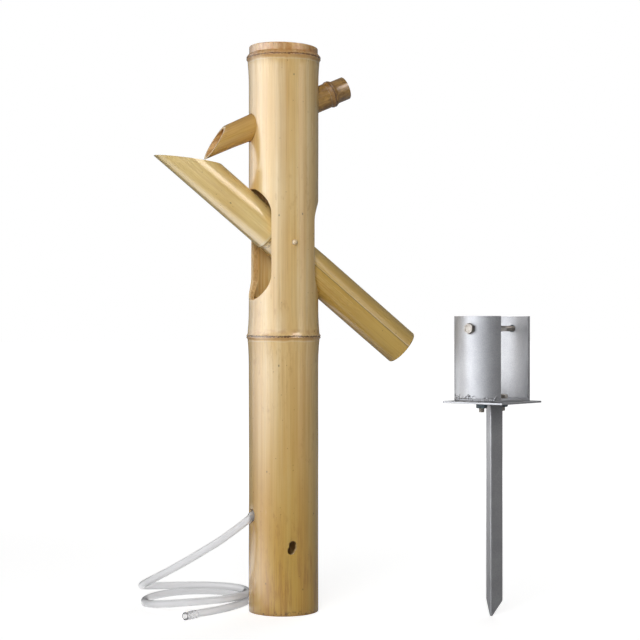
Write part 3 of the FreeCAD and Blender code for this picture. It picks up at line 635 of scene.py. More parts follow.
def finish_piece(name: str, shape: Shape, body: Body, material: Material, smooth: float,
                 at: Axis = UPRIGHT, replaces: Sequence[str] = ()) -> bpy.types.Object:
    """Turn a bmesh into a piece of the object.

    Args:
        name: The piece's name.
        shape: Its mesh in a local frame, freed here.
        body: The body it rides on.
        material: Its finish.
        smooth: The angle in degrees under which faces shade as one.
        at: The local frame.
        replaces: The nodes that it stands for.

    Returns:
        The finished object.
    """
    bmesh.ops.transform(shape, matrix=at.matrix(), verts=shape.verts)
    bmesh.ops.recalc_face_normals(shape, faces=shape.faces)
    mesh = to_mesh(name, shape)
    mesh.shade_smooth()
    mesh.set_sharp_from_angle(angle=math.radians(smooth))
    mesh.materials.append(material)
    made = new_object(name, mesh)
    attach(made, body.value)
    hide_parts(*replaces)
    log.info("%s: %d faces", name, len(mesh.polygons))
    return made


def dress(node: str, material: Material) -> None:
    """Give a node of the frame its finish.

    Args:
        node: The node's name.
        material: Its finish.
    """
    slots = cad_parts[node].data.materials
    slots.clear()
    slots.append(material)
    log.info("%s dressed", node)


def spin(shape: Shape, geom: Sequence[Any], angle: float, steps: int, closed: bool = False) -> None:
    """Sweep vertices, edges and faces about the local Z, by an angle in radians."""
    bmesh.ops.spin(shape, geom=geom, cent=(0, 0, 0), axis=(0, 0, 1), dvec=(0, 0, 0), angle=angle,
                   steps=steps, use_merge=closed, use_normal_flip=False, use_duplicate=False)


def revolved(profile: Sequence[Pair], steps: int) -> Shape:
    """Turn a closed profile about the local Z.

    Args:
        profile: Pairs of radius and height.
        steps: How many sides the turn has.

    Returns:
        The solid.
    """
    shape = bmesh.new()
    corners = [shape.verts.new((radius, 0.0, height)) for radius, height in profile]
    edges = [shape.edges.new((corners[number - 1], corner)) for number, corner in enumerate(corners)]
    spin(shape, corners + edges, 2 * math.pi, steps, closed=True)
    bmesh.ops.remove_doubles(shape, verts=shape.verts, dist=1e-6)
    return shape


def put_on_stage(name: str, shape: Shape) -> tuple[bpy.types.Object, Graph]:
    """Make a mesh part of the stage, with an empty material.

    Args:
        name: The object's name.
        shape: Its mesh, freed here.

    Returns:
        The object, and its material's node tree to fill.
    """
    made = new_object(name, to_mesh(name, shape))
    material = bpy.data.materials.new(name)
    material.use_nodes = True
    material.node_tree.nodes.clear()
    made.data.materials.append(material)
    return made, Graph(material.node_tree)


def by_holder(height: float, x: float = 0.0, y: float = 0.0) -> Point:
    """A point on the holder's axis, or so far off it."""
    return (HOLDER_AXIS.origin[0] + x, HOLDER_AXIS.origin[1] + y, height)


@dataclass(frozen=True)
class Lamp:
    """A rectangular lamp.

    Its place is its azimuth, elevation and distance from a centre, its size its width and height,
    and its radiance how bright its face is, where 1 is white. Gloss shows it where seen is true,
    and it lights matt colour where matt is. Where lit names pieces, it lights those alone.
    """

    name: str
    place: Point
    size: Pair
    radiance: float
    tint: str = "FFFFFF"
    seen: bool = True
    matt: bool = True
    centre: Point = POST_MIDDLE
    target: Point = POST_MIDDLE
    lit: tuple[str, ...] = ()


@dataclass(frozen=True)
class Studio:
    """The camera at the photograph's view, plain soft light and a white floor.

    The flags are each one's name, the azimuths of its two edges, and how bright gloss sees it.
    Between the holder and the post stands a lamp for the steel, another stands behind, and a small
    one in the holder stands in for the light that goes back and forth between its two shells.
    """

    eye: Point = (-0.4917, -1.5472, 0.3006)
    azimuth: float = -19.0
    lens: float = 85.7
    horizon_row: float = 328.0
    image_side: float = 640.0
    fill: float = 0.14
    paper: str = "8E8E8E"
    seen_paper: str = "CCCCCC"
    floor_half: float = 30.0
    floor_run: Pair = (0.5, 2.2)
    floor_glow: float = 0.7
    floor_gloss: Pair = (0.2, 3.98)
    gloss_spot: Point = (-88, 0, 0.38)
    gloss_run: Pair = (0.44, 0.14)
    card_reach: float = 2.3
    card_foot: float = 0.02
    card_top: float = 2.8
    roof_level: float = 0.22
    flags: tuple[tuple[str, float, float, float], ...] = (
        ("front_flag", -17, 49, 0.06),
        ("back_flag", 71, 210, 0.14),
    )
    lamps: tuple[Lamp, ...] = (
        Lamp("left_softbox", (-72, 12, 1.5), (3.9, 1.4), 1.6, "F6F9FF", matt=False),
        Lamp("left_window", (-70, 8, 1.45), (1.3, 1.4), 1.6, "F6F9FF", matt=False),
        Lamp("left_top", (-50, 56, 1.6), (1.2, 1.0), 0.9, matt=False),
        Lamp("front_softbox", (-8, 18, 2.0), (1.2, 1.2), 5.8, seen=False),
        Lamp("left_fill", (-52, -3, 1.6), (0.7, 0.7), 1.4, seen=False),
        Lamp("right_softbox", (48, 42, 1.7), (0.7, 0.6), 4.4, "FFF4F0", matt=False),
        Lamp("right_strip", (59, 8, 1.6), (0.26, 1.1), 0.4, "FFF0EC", matt=False),
        Lamp("back_softbox", (158, 25, 1.8), (1.3, 1.1), 2.7, seen=False),
    )
    steel_lamps: tuple[Lamp, ...] = (
        Lamp("steel_side", (-97, 0, 0.28), (0.44, 0.3), 2.1, centre=by_holder(0.26),
             target=by_holder(0.26), lit=("front_shell", "stake_angle", "holder_base", "stake_plate")),
        Lamp("steel_back", (140, 0, 0.7), (0.8, 0.6), 0.9, centre=by_holder(0.45), target=by_holder(0.22),
             lit=("front_shell", "back_shell", "stake_angle", "holder_base", "stake_plate")),
        Lamp("holder_lamp", (0, 0, 0), (0.03, 0.08), 4.2, centre=by_holder(0.275),
             target=by_holder(0.275, 0.03, 0.018), lit=("back_shell", "cross_nut_m6")),
    )

    def build(self) -> None:
        """Set up the camera, the world, the floor, the cards and the lamps round the post."""
        self.place_camera()
        self.light_world()
        self.lay_floor()
        for lamp in self.lamps:
            self.hang_lamp(lamp)
        for flag in self.flags:
            self.hang_flag(*flag)
        self.hang_roof()

    def light_steel(self) -> None:
        """Light the stake and holder as the photograph does, where they stand by themselves."""
        for lamp in self.steel_lamps:
            self.hang_lamp(lamp)

    def place_camera(self) -> None:
        """Set a level camera at the photograph's place, with the horizon on its own row."""
        data = bpy.data.cameras.new("camera")
        data.lens = self.lens
        data.sensor_width = 36.0
        data.shift_y = (self.horizon_row - self.image_side / 2) / self.image_side
        data.clip_start = 0.05
        camera = new_object("camera", data)
        camera.location = self.eye
        camera.rotation_euler = (math.radians(90), 0.0, math.radians(self.azimuth))
        bpy.context.scene.camera = camera

    def light_world(self) -> None:
        """Make the world white where it is seen, and a soft grey fill elsewhere."""
        world = bpy.data.worlds.new("studio")
        world.use_nodes = True
        graph = Graph(world.node_tree)
        graph.tree.nodes.clear()
        grey = graph.put("Background", WHITE, self.fill)
        white = graph.put("Background", WHITE, 1.0)
        both = graph.put("MixShader", graph.backdrop_share(), grey, white)
        add(graph.tree, "OutputWorld", {0: both})
        bpy.context.scene.world = world

    def lay_floor(self) -> None:
        """Lay a pale floor that takes soft shadows and runs into the white backdrop further out."""
        shape = bmesh.new()
        bmesh.ops.create_grid(shape, x_segments=8, y_segments=8, size=self.floor_half)
        _, graph = put_on_stage("floor", shape)
        place = add(graph.tree, "TexCoord").outputs["Object"]
        reach = add(graph.tree, "VectorMath", {0: place}, operation="LENGTH").outputs["Value"]
        level = graph.fade(reach, *self.floor_run, self.floor_glow, 1.0)
        # Gloss sees the floor dim in front and bright at the post's left, below the left softbox.
        patch = self.spot(*self.gloss_spot)
        patch.z = 0.0
        off = add(graph.tree, "VectorMath", {0: place, 1: patch}, operation="DISTANCE").outputs["Value"]
        shown = graph.gloss_level(graph.fade(off, *self.gloss_run, *self.floor_gloss))
        glow = graph.put("Emission", WHITE, graph.product(level, graph.backdrop_share(), shown))
        # The floor looks paler than the light that it throws back, so that its shadows show.
        looked_at = graph.put("Math", graph.backdrop_share(), graph.gloss_share(), operation="SUBTRACT",
                              use_clamp=True)
        paper = graph.put("BsdfDiffuse", graph.coat(looked_at, self.paper, self.seen_paper))
        add(graph.tree, "OutputMaterial", {0: graph.put("AddShader", paper, glow)})

    def spot(self, azimuth: float, elevation: float, distance: float,
             centre: Point = POST_MIDDLE) -> Vector:
        """Find a place round a centre.

        Args:
            azimuth: Its direction in degrees, counted to the right of the camera's side.
            elevation: How high it stands, in degrees.
            distance: How far it is.
            centre: The centre.

        Returns:
            The place.
        """
        turn = math.radians(self.azimuth + azimuth)
        rise = math.radians(elevation)
        flat = distance * math.cos(rise)
        x, y, z = centre
        return Vector((x + math.sin(turn) * flat, y - math.cos(turn) * flat, z + distance * math.sin(rise)))

    def hang_lamp(self, lamp: Lamp) -> None:
        """Hang a lamp in its place and turn it to its target.

        Args:
            lamp: The lamp.
        """
        data = bpy.data.lights.new(lamp.name, "AREA")
        data.shape = "RECTANGLE"
        data.size, data.size_y = lamp.size
        data.energy = lamp.radiance * math.pi * lamp.size[0] * lamp.size[1]
        data.color = linear(lamp.tint)[:3]
        hung = new_object(lamp.name, data)
        hung.location = self.spot(*lamp.place, lamp.centre)
        hung.rotation_euler = (Vector(lamp.target) - hung.location).to_track_quat("-Z", "Y").to_euler()
        hung.visible_camera = False
        hung.visible_transmission = False
        hung.visible_glossy = lamp.seen
        hung.visible_diffuse = lamp.matt
        if lamp.lit:
            group = bpy.data.collections.new(lamp.name + "_lit")
            for piece in lamp.lit:
                group.objects.link(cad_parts.get(piece) or bpy.data.objects[piece])
            hung.light_linking.receiver_collection = group

    def hang_flag(self, name: str, low: float, high: float, level: float) -> None:
        """Hang a curved grey flag that only gloss sees.

        Args:
            name: The flag's name.
            low: The azimuth of its left edge.
            high: The azimuth of its right edge.
            level: How bright it is, where 1 is white.
        """
        shape = bmesh.new()
        edge = self.spot(low, 0, self.card_reach)
        foot = shape.verts.new((edge.x, edge.y, self.card_foot))
        head = shape.verts.new((edge.x, edge.y, self.card_top))
        spin(shape, [foot, head, shape.edges.new((foot, head))], math.radians(high - low), 12)
        self.show_to_gloss(name, shape, level)

    def hang_roof(self) -> None:
        """Close the flags at their top, for gloss alone."""
        shape = bmesh.new()
        bmesh.ops.create_circle(shape, cap_ends=True, segments=32, radius=self.card_reach,
                                matrix=Matrix.Translation((0.0, 0.0, self.card_top)))
        self.show_to_gloss("roof", shape, self.roof_level)

    def show_to_gloss(self, name: str, shape: Shape, level: float) -> None:
        """Put a plainly glowing card on the stage that only gloss sees.

        Args:
            name: Its name.
            shape: Its mesh.
            level: How bright it is, where 1 is white.
        """
        card, graph = put_on_stage(name, shape)
        add(graph.tree, "OutputMaterial", {0: graph.put("Emission", WHITE, graph.gloss_level(level))})
        card.visible_camera = False
        card.visible_diffuse = False
        card.visible_transmission = False
        card.visible_shadow = False


@dataclass(frozen=True)
class Hose:
    """The clear hose: the stretch inside the post, the free stretch and the sleeve on its end."""

    radius: float = 4.0 * MM
    wall: float = 1.0 * MM
    floor_play: float = 0.1 * MM
    hole_turn: float = 5.5
    hole_height: float = 102.8 * MM
    wall_middle: float = 34.35 * MM
    past_wall: float = 4.0 * MM
    into_post: float = 26.0 * MM
    coil_turns: float = 1.5
    coil_centre: Pair = (-80.6 * MM, 70.1 * MM)
    coil_drift: Pair = (3.0 * MM, -6.3 * MM)
    coil_wide: Pair = (59.0 * MM, -2.0 * MM)
    coil_deep: Pair = (39.25 * MM, 21.3 * MM)
    coil_yaw: float = -19.0
    coil_steps: int = 16
    lead_rise: float = 6.4 * MM
    layer_gap: float = 0.7 * MM
    sleeve_radius: float = 4.2 * MM
    sleeve_length: float = 17.0 * MM
    ring_height: float = 0.25 * MM
    ring_count: int = 4
    ring_first: float = 2.6
    ring_pitch: float = 2.5
    lead_route: tuple[Point, ...] = (
        (-0.0620, -0.0019, 0.0820),
        (-0.0862, 0.0107, 0.0650),
        (-0.1079, 0.0276, 0.0488),
        (-0.1254, 0.0442, 0.0360),
    )
    run_out: tuple[Pair, Pair] = ((-0.0637, 0.0067), (-0.0995, -0.0139))
    end_heading: Point = (-0.83, -0.55, 0.0)
    end_run: float = 8 * MM
    inner_route: tuple[Point, ...] = (
        (0.0020, 0.0030, 0.1410),
        (0.0060, 0.0100, 0.1860),
        (0.0075, 0.0190, 0.2400),
        (0.0070, 0.0250, 0.3000),
        (0.0076, 0.0254, 0.3520),
        (0.0072, 0.0250, 0.4040),
        (0.0060, 0.0195, 0.4470),
        (0.0020, 0.0070, 0.4820),
        (0.0, 0.0, 0.5050),
        (0.0, 0.0, 0.5210),
    )

    def build(self) -> None:
        """Lay the inner stretch, the free stretch and its sleeve."""
        vinyl = ClearVinyl("milky_vinyl").material()
        clear = ClearVinyl("clear_sleeve", 60.0, 0.1, 0.95).material()
        mouth = self.hole_point(self.past_wall)
        inner = [mouth, self.hole_point(-self.into_post), *map(Vector, self.inner_route)]
        self.lay_tube("hose_in_post", inner, vinyl, ["inner_hose"])

        heading = Vector(self.end_heading).normalized()
        steps = int(self.coil_turns * self.coil_steps)
        last = Vector((*self.run_out[1], self.sleeve_radius + self.ring_height + self.floor_play))
        free = [mouth, *map(Vector, self.lead_route)]
        free += [self.coil_point(number / self.coil_steps) for number in range(steps + 1)]
        free += [Vector((*self.run_out[0], self.radius + self.floor_play)),
                 last - heading * self.end_run, last]
        hose, centre = self.lay_tube("free_hose", free, vinyl, ["hose_lead", "hose_coil"])
        sleeve = self.turn_sleeve(last, heading, clear)

    def hole_point(self, reach: float) -> Vector:
        """Find a point on the straight run through the hole.

        Args:
            reach: How far outwards it is from the middle of the wall.

        Returns:
            The point.
        """
        turn = math.radians(self.hole_turn)
        start = Vector((-math.cos(turn), -math.sin(turn), 0.0)) * self.wall_middle
        start.z = self.hole_height
        return start + (Vector(self.lead_route[0]) - start).normalized() * reach

    def coil_point(self, turns: float) -> Vector:
        """Find a point of the coil: loose ovals, each turn a little wider and further back.

        Args:
            turns: How many turns lie before it.

        Returns:
            The point.
        """
        angle = math.pi - 2 * math.pi * turns
        yaw = math.radians(self.coil_yaw)
        wide = self.coil_drift[0] * turns + (self.coil_wide[0] + self.coil_wide[1] * turns) * math.cos(angle)
        deep = self.coil_drift[1] * turns + (self.coil_deep[0] + self.coil_deep[1] * turns) * math.sin(angle)
        x = self.coil_centre[0] + wide * math.cos(yaw) - deep * math.sin(yaw)
        y = self.coil_centre[1] + wide * math.sin(yaw) + deep * math.cos(yaw)
        # The first turn lies on the second, and comes down to the floor in its last third.
        settle = clamped((1.0 - turns) / 0.3)
        upper = settle * settle * (3 - 2 * settle)
        rise = self.lead_rise * max(0.0, 1 - turns / 0.25) ** 2
        layer = 2 * self.radius + self.layer_gap
        return Vector((x, y, self.radius + self.floor_play + layer * upper + rise))

    def route_mesh(self, points: Sequence[Vector], depth: float) -> bpy.types.Mesh:
        """Lay one smooth NURBS spline and read its mesh.

        Args:
            points: The spline's control points.
            depth: The tube's radius, or 0 for a bare line.

        Returns:
            The mesh.
        """
        data = bpy.data.curves.new("route", "CURVE")
        data.dimensions = "3D"
        data.resolution_u = 10
        data.bevel_depth = depth
        data.bevel_resolution = 8
        spline = data.splines.new("NURBS")
        spline.points.add(len(points) - 1)
        for point, place in zip(spline.points, points):
            point.co = (*place, 1.0)
        spline.order_u = 3
        spline.use_endpoint_u = True
        route = new_object("route", data)
        mesh = bpy.data.meshes.new_from_object(route)
        bpy.data.objects.remove(route)
        return mesh

    def lay_tube(self, name: str, points: Sequence[Vector], material: Material,
                 replaces: Sequence[str]) -> tuple[bpy.types.Object, list[Vector]]:
        """Make a hollow tube along a route.

        Args:
            name: The piece's name.
            points: The route's control points.
            material: Its finish.
            replaces: The nodes that it stands for.

        Returns:
            The tube and the points of its centre line.
        """
        centre = [vertex.co.copy() for vertex in self.route_mesh(points, 0.0).vertices]
        shape = bmesh.new()
        shape.from_mesh(self.route_mesh(points, self.radius))
        bmesh.ops.remove_doubles(shape, verts=shape.verts, dist=1e-6)
        bmesh.ops.recalc_face_normals(shape, faces=shape.faces)
        bmesh.ops.solidify(shape, geom=shape.faces, thickness=self.wall)
        made = finish_piece(name, shape, Body.POST, material, 50.0, replaces=replaces)
        return made, centre

    def turn_sleeve(self, start: Vector, heading: Vector, material: Material) -> bpy.types.Object:
        """Turn the clear sleeve with its rings and its rounded open mouth.

        Args:
            start: Where the hose ends.
            heading: The hose's direction there.
            material: Its finish.

        Returns:
            The sleeve.
        """
        bore = self.radius - self.wall
        out = self.sleeve_radius
        high = out + self.ring_height
        profile = [(bore, 0.0), (out, 0.0)]
        for number in range(self.ring_count):
            middle = (self.ring_first + self.ring_pitch * number) * MM
            profile += [(out, middle - 0.75 * MM), (high, middle - 0.3 * MM),
                        (high, middle + 0.3 * MM), (out, middle + 0.75 * MM)]
        end = self.sleeve_length
        profile += [(out, end - 0.6 * MM), (out - 0.2 * MM, end - 0.15 * MM), (out - 0.6 * MM, end),
                    (bore + 0.2 * MM, end), (bore, end - 0.3 * MM)]
        yaw = math.degrees(math.atan2(heading.y, heading.x))
        return finish_piece("hose_sleeve", revolved(profile, 40), Body.POST, material,
                            40.0, Axis(tuple(start), (0.0, 90.0, yaw)), ["hose_end_fitting"])


@dataclass(frozen=True)
class BambooWork:
    """The post, the rocker, the pin and the spout."""

    post_radius: float = 37.0 * MM
    post_bore: float = 31.7 * MM
    post_nodes: Pair = (0.2917, 0.587)
    post_sway: float = 0.25 * MM
    rocker_radius: float = 20.0 * MM
    rocker_bore: float = 16.0 * MM
    rocker_lip: float = -0.0184
    spout_radius: float = 12.35 * MM
    spout_bore: float = 9.85 * MM
    spout_node: float = 0.0577
    post_height: float = 0.6
    pin_radius: float = 2.8 * MM
    pin_front: float = 4.2 * MM
    pin_back: float = 1.0 * MM
    pin_flats: int = 9
    swing_middle: float = 0.39
    swing_half: float = 0.07
    ring_step: float = 0.012
    merge: float = 2e-6
    sawn_angle: float = 38.0
    edge_round: float = 0.4 * MM

    def build(self) -> None:
        """Finish every bamboo piece."""
        # The post's inner wall is painted paler than the other culms' inner walls as painted light, where
        # too little of the lamps' light gets in.
        post = Bamboo("post_culm_skin", UPRIGHT, self.post_radius, self.post_bore,
                      "F3DBA8", "ECCA88", "DDAF64", inside=("DDB064", "F0D290"),
                      node_heights=self.post_nodes, foot_stain=0.15, tint_and_shade=(0.33, 0.05, "E1CE84"),
                      brown_and_shade_span=(0.584, 0.59), brown="B8762A", seed=1.0)
        # The rocker's tail is tinted darker towards its end as painted shade, where the post shades it.
        rocker = Bamboo("rocker_skin", ROCKER_AXIS, self.rocker_radius, self.rocker_bore,
                        "F6DD9A", "F0D38B", "E4C074", tint_and_shade=(-0.03, 0.05, "E2D5A4"),
                        lip=self.rocker_lip, crack=-1.6, gloss=0.36, seed=7.0, skin_depth=1.2,
                        stripes=0.2, spotty=0.15)
        # The spout's back stub beyond the post is browner in its own colour and darker as painted shade.
        spout = Bamboo("spout_skin", SPOUT_AXIS, self.spout_radius, self.spout_bore,
                       "DFB96C", "D2A656", "B4863A", inside=("A8742E", "CC9C54"),
                       node_heights=(self.spout_node,), brown_and_shade_span=(0.03, 0.045), brown="6C4815",
                       seed=13.0, stripes=0.3, spotty=0.25)
        pin = Bamboo("pin_wood", PIN_AXIS, self.pin_radius, 0.0, "FBEBCB", "F5DFB8", "E2BE8C",
                     seed=17.0, skin_depth=4.0)
        self.carve("post_culm", "post_skin", Body.POST, post, self.post_sway)
        self.carve("rocker_tube", "rocker_skin", Body.ROCKER, rocker)
        self.carve("spout_pipe", "spout_skin", Body.POST, spout)
        self.whittle_pin(pin)

    def whittle_pin(self, finish: Bamboo) -> None:
        """Make the pin as whittled: uneven flats and a blunt faceted end in front.

        Args:
            finish: Its bamboo.
        """
        chance = random.Random(3)
        reach = self.pin_radius
        front = self.post_radius + self.pin_front
        back = self.post_radius + self.pin_back
        profile = [(0.0, front), (reach * 0.45, front), (reach * 0.8, front - 0.7 * MM),
                   (reach, front - 1.9 * MM), (reach, -back), (0.0, -back)]
        shape = revolved(profile, self.pin_flats)
        for vertex in shape.verts:
            if vertex.co.z > self.post_radius:
                vertex.co.x += chance.uniform(-0.2, 0.2) * MM
                vertex.co.y += chance.uniform(-0.2, 0.2) * MM
        finish_piece("whittled_pin", shape, Body.POST, finish.material(), 12.0,
                     finish.axis, ["pivot_pin"])

    def carve(self, node: str, name: str, body: Body, finish: Bamboo,
              sway: float = 0.0) -> None:
        """Copy a culm's mesh, round its sawn edges and let its wall sway a little.

        Args:
            node: The culm's node.
            name: The finished piece's name.
            body: The body it rides on.
            finish: Its bamboo, whose axis is the culm's.
            sway: How far the wall may stand in or out.
        """
        shape = bmesh.new()
        shape.from_mesh(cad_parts[node].data)
        bmesh.ops.remove_doubles(shape, verts=shape.verts, dist=self.merge)
        bmesh.ops.dissolve_limit(shape, angle_limit=math.radians(0.5), verts=shape.verts, edges=shape.edges)
        sawn = [edge for edge in shape.edges
                if edge.is_manifold and edge.calc_face_angle(0.0) > math.radians(self.sawn_angle)]
        bmesh.ops.bevel(shape, geom=sawn, offset=self.edge_round, offset_type="OFFSET", affect="EDGES",
                        segments=2, profile=0.5, material=-1, clamp_overlap=True)
        if sway:
            self.sway_wall(shape, sway)
        finish_piece(name, shape, body, finish.material(), 32.0, replaces=[node])

    def sway_wall(self, shape: Shape, sway: float) -> None:
        """Move the post's wall in and out smoothly, but not where the rocker swings.

        Args:
            shape: The post's mesh, freshly rounded.
            sway: How far it may move.
        """
        rings = int(self.post_height / self.ring_step)
        for number in range(1, rings):
            bmesh.ops.bisect_plane(shape, geom=shape.verts[:] + shape.edges[:] + shape.faces[:], dist=1e-6,
                                   plane_co=(0, 0, number * self.ring_step), plane_no=(0, 0, 1))
        for vertex in shape.verts:
            height = vertex.co.z
            off_swing = clamped((abs(height - self.swing_middle) / self.swing_half - 1.0) * 4)
            off_foot = clamped((height - 0.01) / 0.04)
            wave = noise.noise(Vector((vertex.co.x * 28, vertex.co.y * 28, height * 9)))
            outward = Vector((vertex.co.x, vertex.co.y, 0.0))
            if outward.length > 1e-4:
                vertex.co += outward.normalized() * (wave * sway * off_swing * off_foot)


@dataclass(frozen=True)
class StakeAndHolder:
    """The painted steel stake, its plate, the holder's shells and their welds."""

    merge: float = 2e-6
    plate_round: float = 0.3 * MM
    shell_outside: float = 40.0 * MM
    weld_half_angle: float = 37.0
    bead: float = 1.5 * MM
    ripple: float = 2.1 * MM
    spatter: int = 34

    def build(self) -> None:
        """Paint the steel, round its edges and lay the welds."""
        paint = SilverPaint("silver_paint", "8E8F92", "A2A3A6").material()
        dress("stake_angle", SilverPaint("stake_paint", "8B8B8E", "9E9FA1").material())
        for node in ("front_shell", "back_shell", "stake_weld", "stake_plate", "holder_base"):
            dress(node, paint)
        for node in ("stake_plate", "holder_base"):
            self.soften(node)
        self.lay_weld("front_bead", "front_shell_weld", 180.0, 11, paint)
        self.lay_weld("back_bead", "back_shell_weld", 0.0, 12, paint)

    def soften(self, node: str) -> None:
        """Round the edges of a carried-over plate by live modifiers.

        Args:
            node: The plate's node.
        """
        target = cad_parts[node]
        target.modifiers.new("joined", "WELD").merge_threshold = self.merge
        rounding = target.modifiers.new("rounded", "BEVEL")
        rounding.width = self.plate_round
        rounding.segments = 2
        rounding.limit_method = "ANGLE"
        rounding.angle_limit = math.radians(40)
        rounding.harden_normals = True

    def foot_line(self, turn: float, height: float) -> Vector:
        """A point at the shells' outside, at a turn in radians about the holder."""
        out = self.shell_outside
        return Vector((math.cos(turn) * out, math.sin(turn) * out, height))

    def lay_weld(self, name: str, node: str, middle: float, seed: int, paint: Material) -> None:
        """Lay a rippled weld bead along a shell's foot, with the spatter it left.

        Args:
            name: The bead's name.
            node: The plain bead it stands for.
            middle: The direction of the shell's middle, in degrees about the holder.
            seed: The seed of its unevenness.
            paint: The finish.
        """
        chance = random.Random(seed)
        shape = bmesh.new()
        first = Matrix.Rotation(math.radians(middle - self.weld_half_angle), 4, "Z")
        upright = Matrix.Translation((self.shell_outside, 0, HOLDER_BASE_TOP)) @ Matrix.Rotation(
            math.radians(90), 4, "X")
        bmesh.ops.create_circle(shape, cap_ends=True, segments=14, radius=self.bead)
        bmesh.ops.transform(shape, matrix=first @ upright, verts=shape.verts)
        spin(shape, shape.verts[:] + shape.edges[:] + shape.faces[:],
             math.radians(2 * self.weld_half_angle), 150)
        for vertex in shape.verts:
            turn = math.atan2(vertex.co.y, vertex.co.x)
            core = self.foot_line(turn, HOLDER_BASE_TOP)
            along = turn * self.shell_outside
            scale = abs(math.sin(math.pi * along / self.ripple)) * 0.25 + 0.9
            scale += 0.5 * noise.noise(Vector((along * 260, seed, 0)))
            vertex.co = core + (vertex.co - core) * scale
        for _ in range(self.spatter):
            turn = math.radians(middle + chance.uniform(-40, 40))
            size = chance.choice((0.4, 0.5, 0.7, 0.9, 1.3)) * MM
            low = chance.random() ** 2 * 4 * MM
            place = self.foot_line(turn, HOLDER_BASE_TOP + self.bead + low)
            bmesh.ops.create_icosphere(shape, subdivisions=2, radius=size, matrix=Matrix.Translation(place))
        finish_piece(name, shape, Body.POST, paint, 50.0, HOLDER_AXIS, [node])


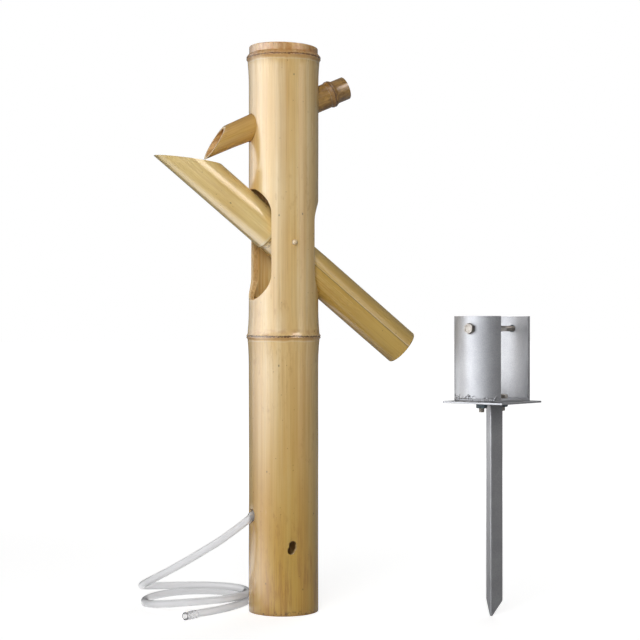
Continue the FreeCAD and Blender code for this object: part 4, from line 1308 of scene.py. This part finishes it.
@dataclass(frozen=True)
class Fasteners:
    """The M6 bolts and nuts, with chamfered heads and rolled threads."""

    across: float = 10.0 * MM
    end_face: float = 4.75 * MM
    chamfer: float = 30.0
    shank: float = 3.0 * MM
    pitch: float = 1.0 * MM
    thread_depth: float = 0.42 * MM
    sides: int = 48
    head: float = 4.0 * MM
    head_dish: float = 0.35 * MM
    nut: float = 5.0 * MM
    nut_play: float = 0.05 * MM
    plate_under: float = 222.0 * MM
    plate_reach: float = 19.4 * MM
    plate_length: float = 13.5 * MM
    plate_thread: float = 9.5 * MM
    cross_height: float = 300.0 * MM
    cross_seat: float = 40.05 * MM
    cross_length: float = 88.1 * MM
    cross_thread: float = 24.0 * MM

    def build(self) -> None:
        """Make the bolts and nuts in their places."""
        steel = BoltMetal("stainless_bolt", "A8A39C", "857F77", 0.34).material()
        plain = BoltMetal("grey_bolt", "CFC9C0", "A39C92", 0.4).material()
        zinc = BoltMetal("zinc_nut", "7C8A94", "5E6360", 0.33).material()
        down = Matrix.Rotation(math.pi, 4, "X")
        for side, end in ((-1, "front"), (1, "back")):
            seat = Matrix.Translation((side * self.plate_reach, 0, HOLDER_BASE_TOP))
            under = Matrix.Translation((side * self.plate_reach, 0, self.plate_under))
            self.bolt("plate_bolt_" + end, seat, self.plate_length, self.plate_thread, plain)
            self.loose_nut("plate_nut_" + end, under @ down, zinc)
        for side, turn in ((-1, -90), (1, 90)):
            seat = Matrix.Translation((side * self.cross_seat, 0, self.cross_height))
            place = seat @ Matrix.Rotation(math.radians(turn), 4, "Y")
            if side < 0:
                self.bolt("cross_bolt", place, self.cross_length, self.cross_thread, steel)
            else:
                self.loose_nut("cross_nut", place, zinc)

    def hexagon_reach(self, turn: float) -> float:
        """The distance from the axis to the hexagon's side, in one direction."""
        return self.across / 2 / math.cos((turn % (math.pi / 3)) - math.pi / 6)

    def hexed(self, profile: Sequence[Pair], both_ends: bool) -> Shape:
        """Turn a profile and cut it to a hexagon whose ends are chamfered.

        Args:
            profile: Pairs of radius and height, wider than the hexagon where it is to be cut.
            both_ends: Whether the lower end is chamfered too.

        Returns:
            The solid, its axis along Z.
        """
        shape = revolved(profile, self.sides)
        top = max(height for _, height in profile)
        for vertex in shape.verts:
            reach = math.hypot(vertex.co.x, vertex.co.y)
            limit = self.hexagon_reach(math.atan2(vertex.co.y, vertex.co.x))
            if reach <= limit:
                continue
            upper = vertex.co.z > top / 2
            vertex.co.x *= limit / reach
            vertex.co.y *= limit / reach
            drop = (limit - self.end_face) * math.tan(math.radians(self.chamfer))
            if upper:
                vertex.co.z = top - drop
            elif both_ends:
                vertex.co.z = drop
        return shape

    def thread(self, shape: Shape, low: float, high: float) -> None:
        """Cut a helical thread into the shank's rings.

        Args:
            shape: The bolt's mesh.
            low: The height of the thread's lower end.
            high: The height of its upper end.
        """
        for vertex in shape.verts:
            reach = math.hypot(vertex.co.x, vertex.co.y)
            if not low < vertex.co.z < high or abs(reach - self.shank) > 0.01 * MM:
                continue
            turn = math.atan2(vertex.co.y, vertex.co.x) / (2 * math.pi)
            phase = (vertex.co.z / self.pitch - turn) % 1.0
            depth = self.thread_depth * (1 - abs(2 * phase - 1))
            vertex.co.x *= (reach - depth) / reach
            vertex.co.y *= (reach - depth) / reach

    def bolt(self, name: str, place: Matrix, length: float, threaded: float, material: Material) -> None:
        """Make a bolt whose head stands on its seat along the local Z.

        Args:
            name: The bolt's node.
            place: Its seat in the holder's frame.
            length: The shank's length.
            threaded: The length of its thread.
            material: Its finish.
        """
        face = self.head - self.head_dish
        profile = [(0.0, face), (self.end_face - 1.3 * MM, face), (self.end_face - 0.9 * MM, self.head),
                   (self.end_face, self.head), (self.across, self.head * 0.9), (self.across, 0.0),
                   (self.shank, 0.0)]
        rings = int(threaded / (self.pitch / 4))
        smooth_end = threaded - length
        if smooth_end < -0.1 * MM:
            profile.append((self.shank, smooth_end))
        profile += [(self.shank, smooth_end - threaded * number / rings) for number in range(1, rings - 2)]
        profile += [(self.shank - 0.6 * MM, -length), (0.0, -length)]
        shape = self.hexed(profile, False)
        self.thread(shape, -length, smooth_end)
        self.seat(name, shape, place, Slot.BOLT_STEEL, material)

    def loose_nut(self, name: str, place: Matrix, material: Material) -> None:
        """Make a nut that grows from its bearing face along the local Z.

        Args:
            name: The nut's node.
            place: Its bearing face in the holder's frame.
            material: Its finish.
        """
        bore = self.shank + self.nut_play
        mouth = bore + 0.4 * MM
        profile = [(bore, 0.4 * MM), (mouth, 0.0), (self.end_face, 0.0), (self.across, 0.1 * self.nut),
                   (self.across, 0.9 * self.nut), (self.end_face, self.nut), (mouth, self.nut),
                   (bore, self.nut - 0.4 * MM)]
        shape = self.hexed(profile, True)
        self.seat(name, shape, place, Slot.ZINC_NUT, material)

    def seat(self, name: str, shape: Shape, place: Matrix, slot: Slot, material: Material) -> None:
        """Put a bolt or nut, made along the local Z, in its place."""
        bmesh.ops.transform(shape, matrix=place, verts=shape.verts)
        finish_piece(name + "_m6", shape, Body.POST, material, 28.0, HOLDER_AXIS, [name])


def main() -> None:
    """Build the studio and every sub-assembly in order."""
    logging.basicConfig(level=logging.INFO, format="%(message)s")
    bpy.context.scene.view_settings.view_transform = "Standard"
    studio = Studio()
    for build in (studio.build, Hose().build, BambooWork().build, StakeAndHolder().build,
                  Fasteners().build, studio.light_steel):
        build()


if __name__ == "__main__":
    main()
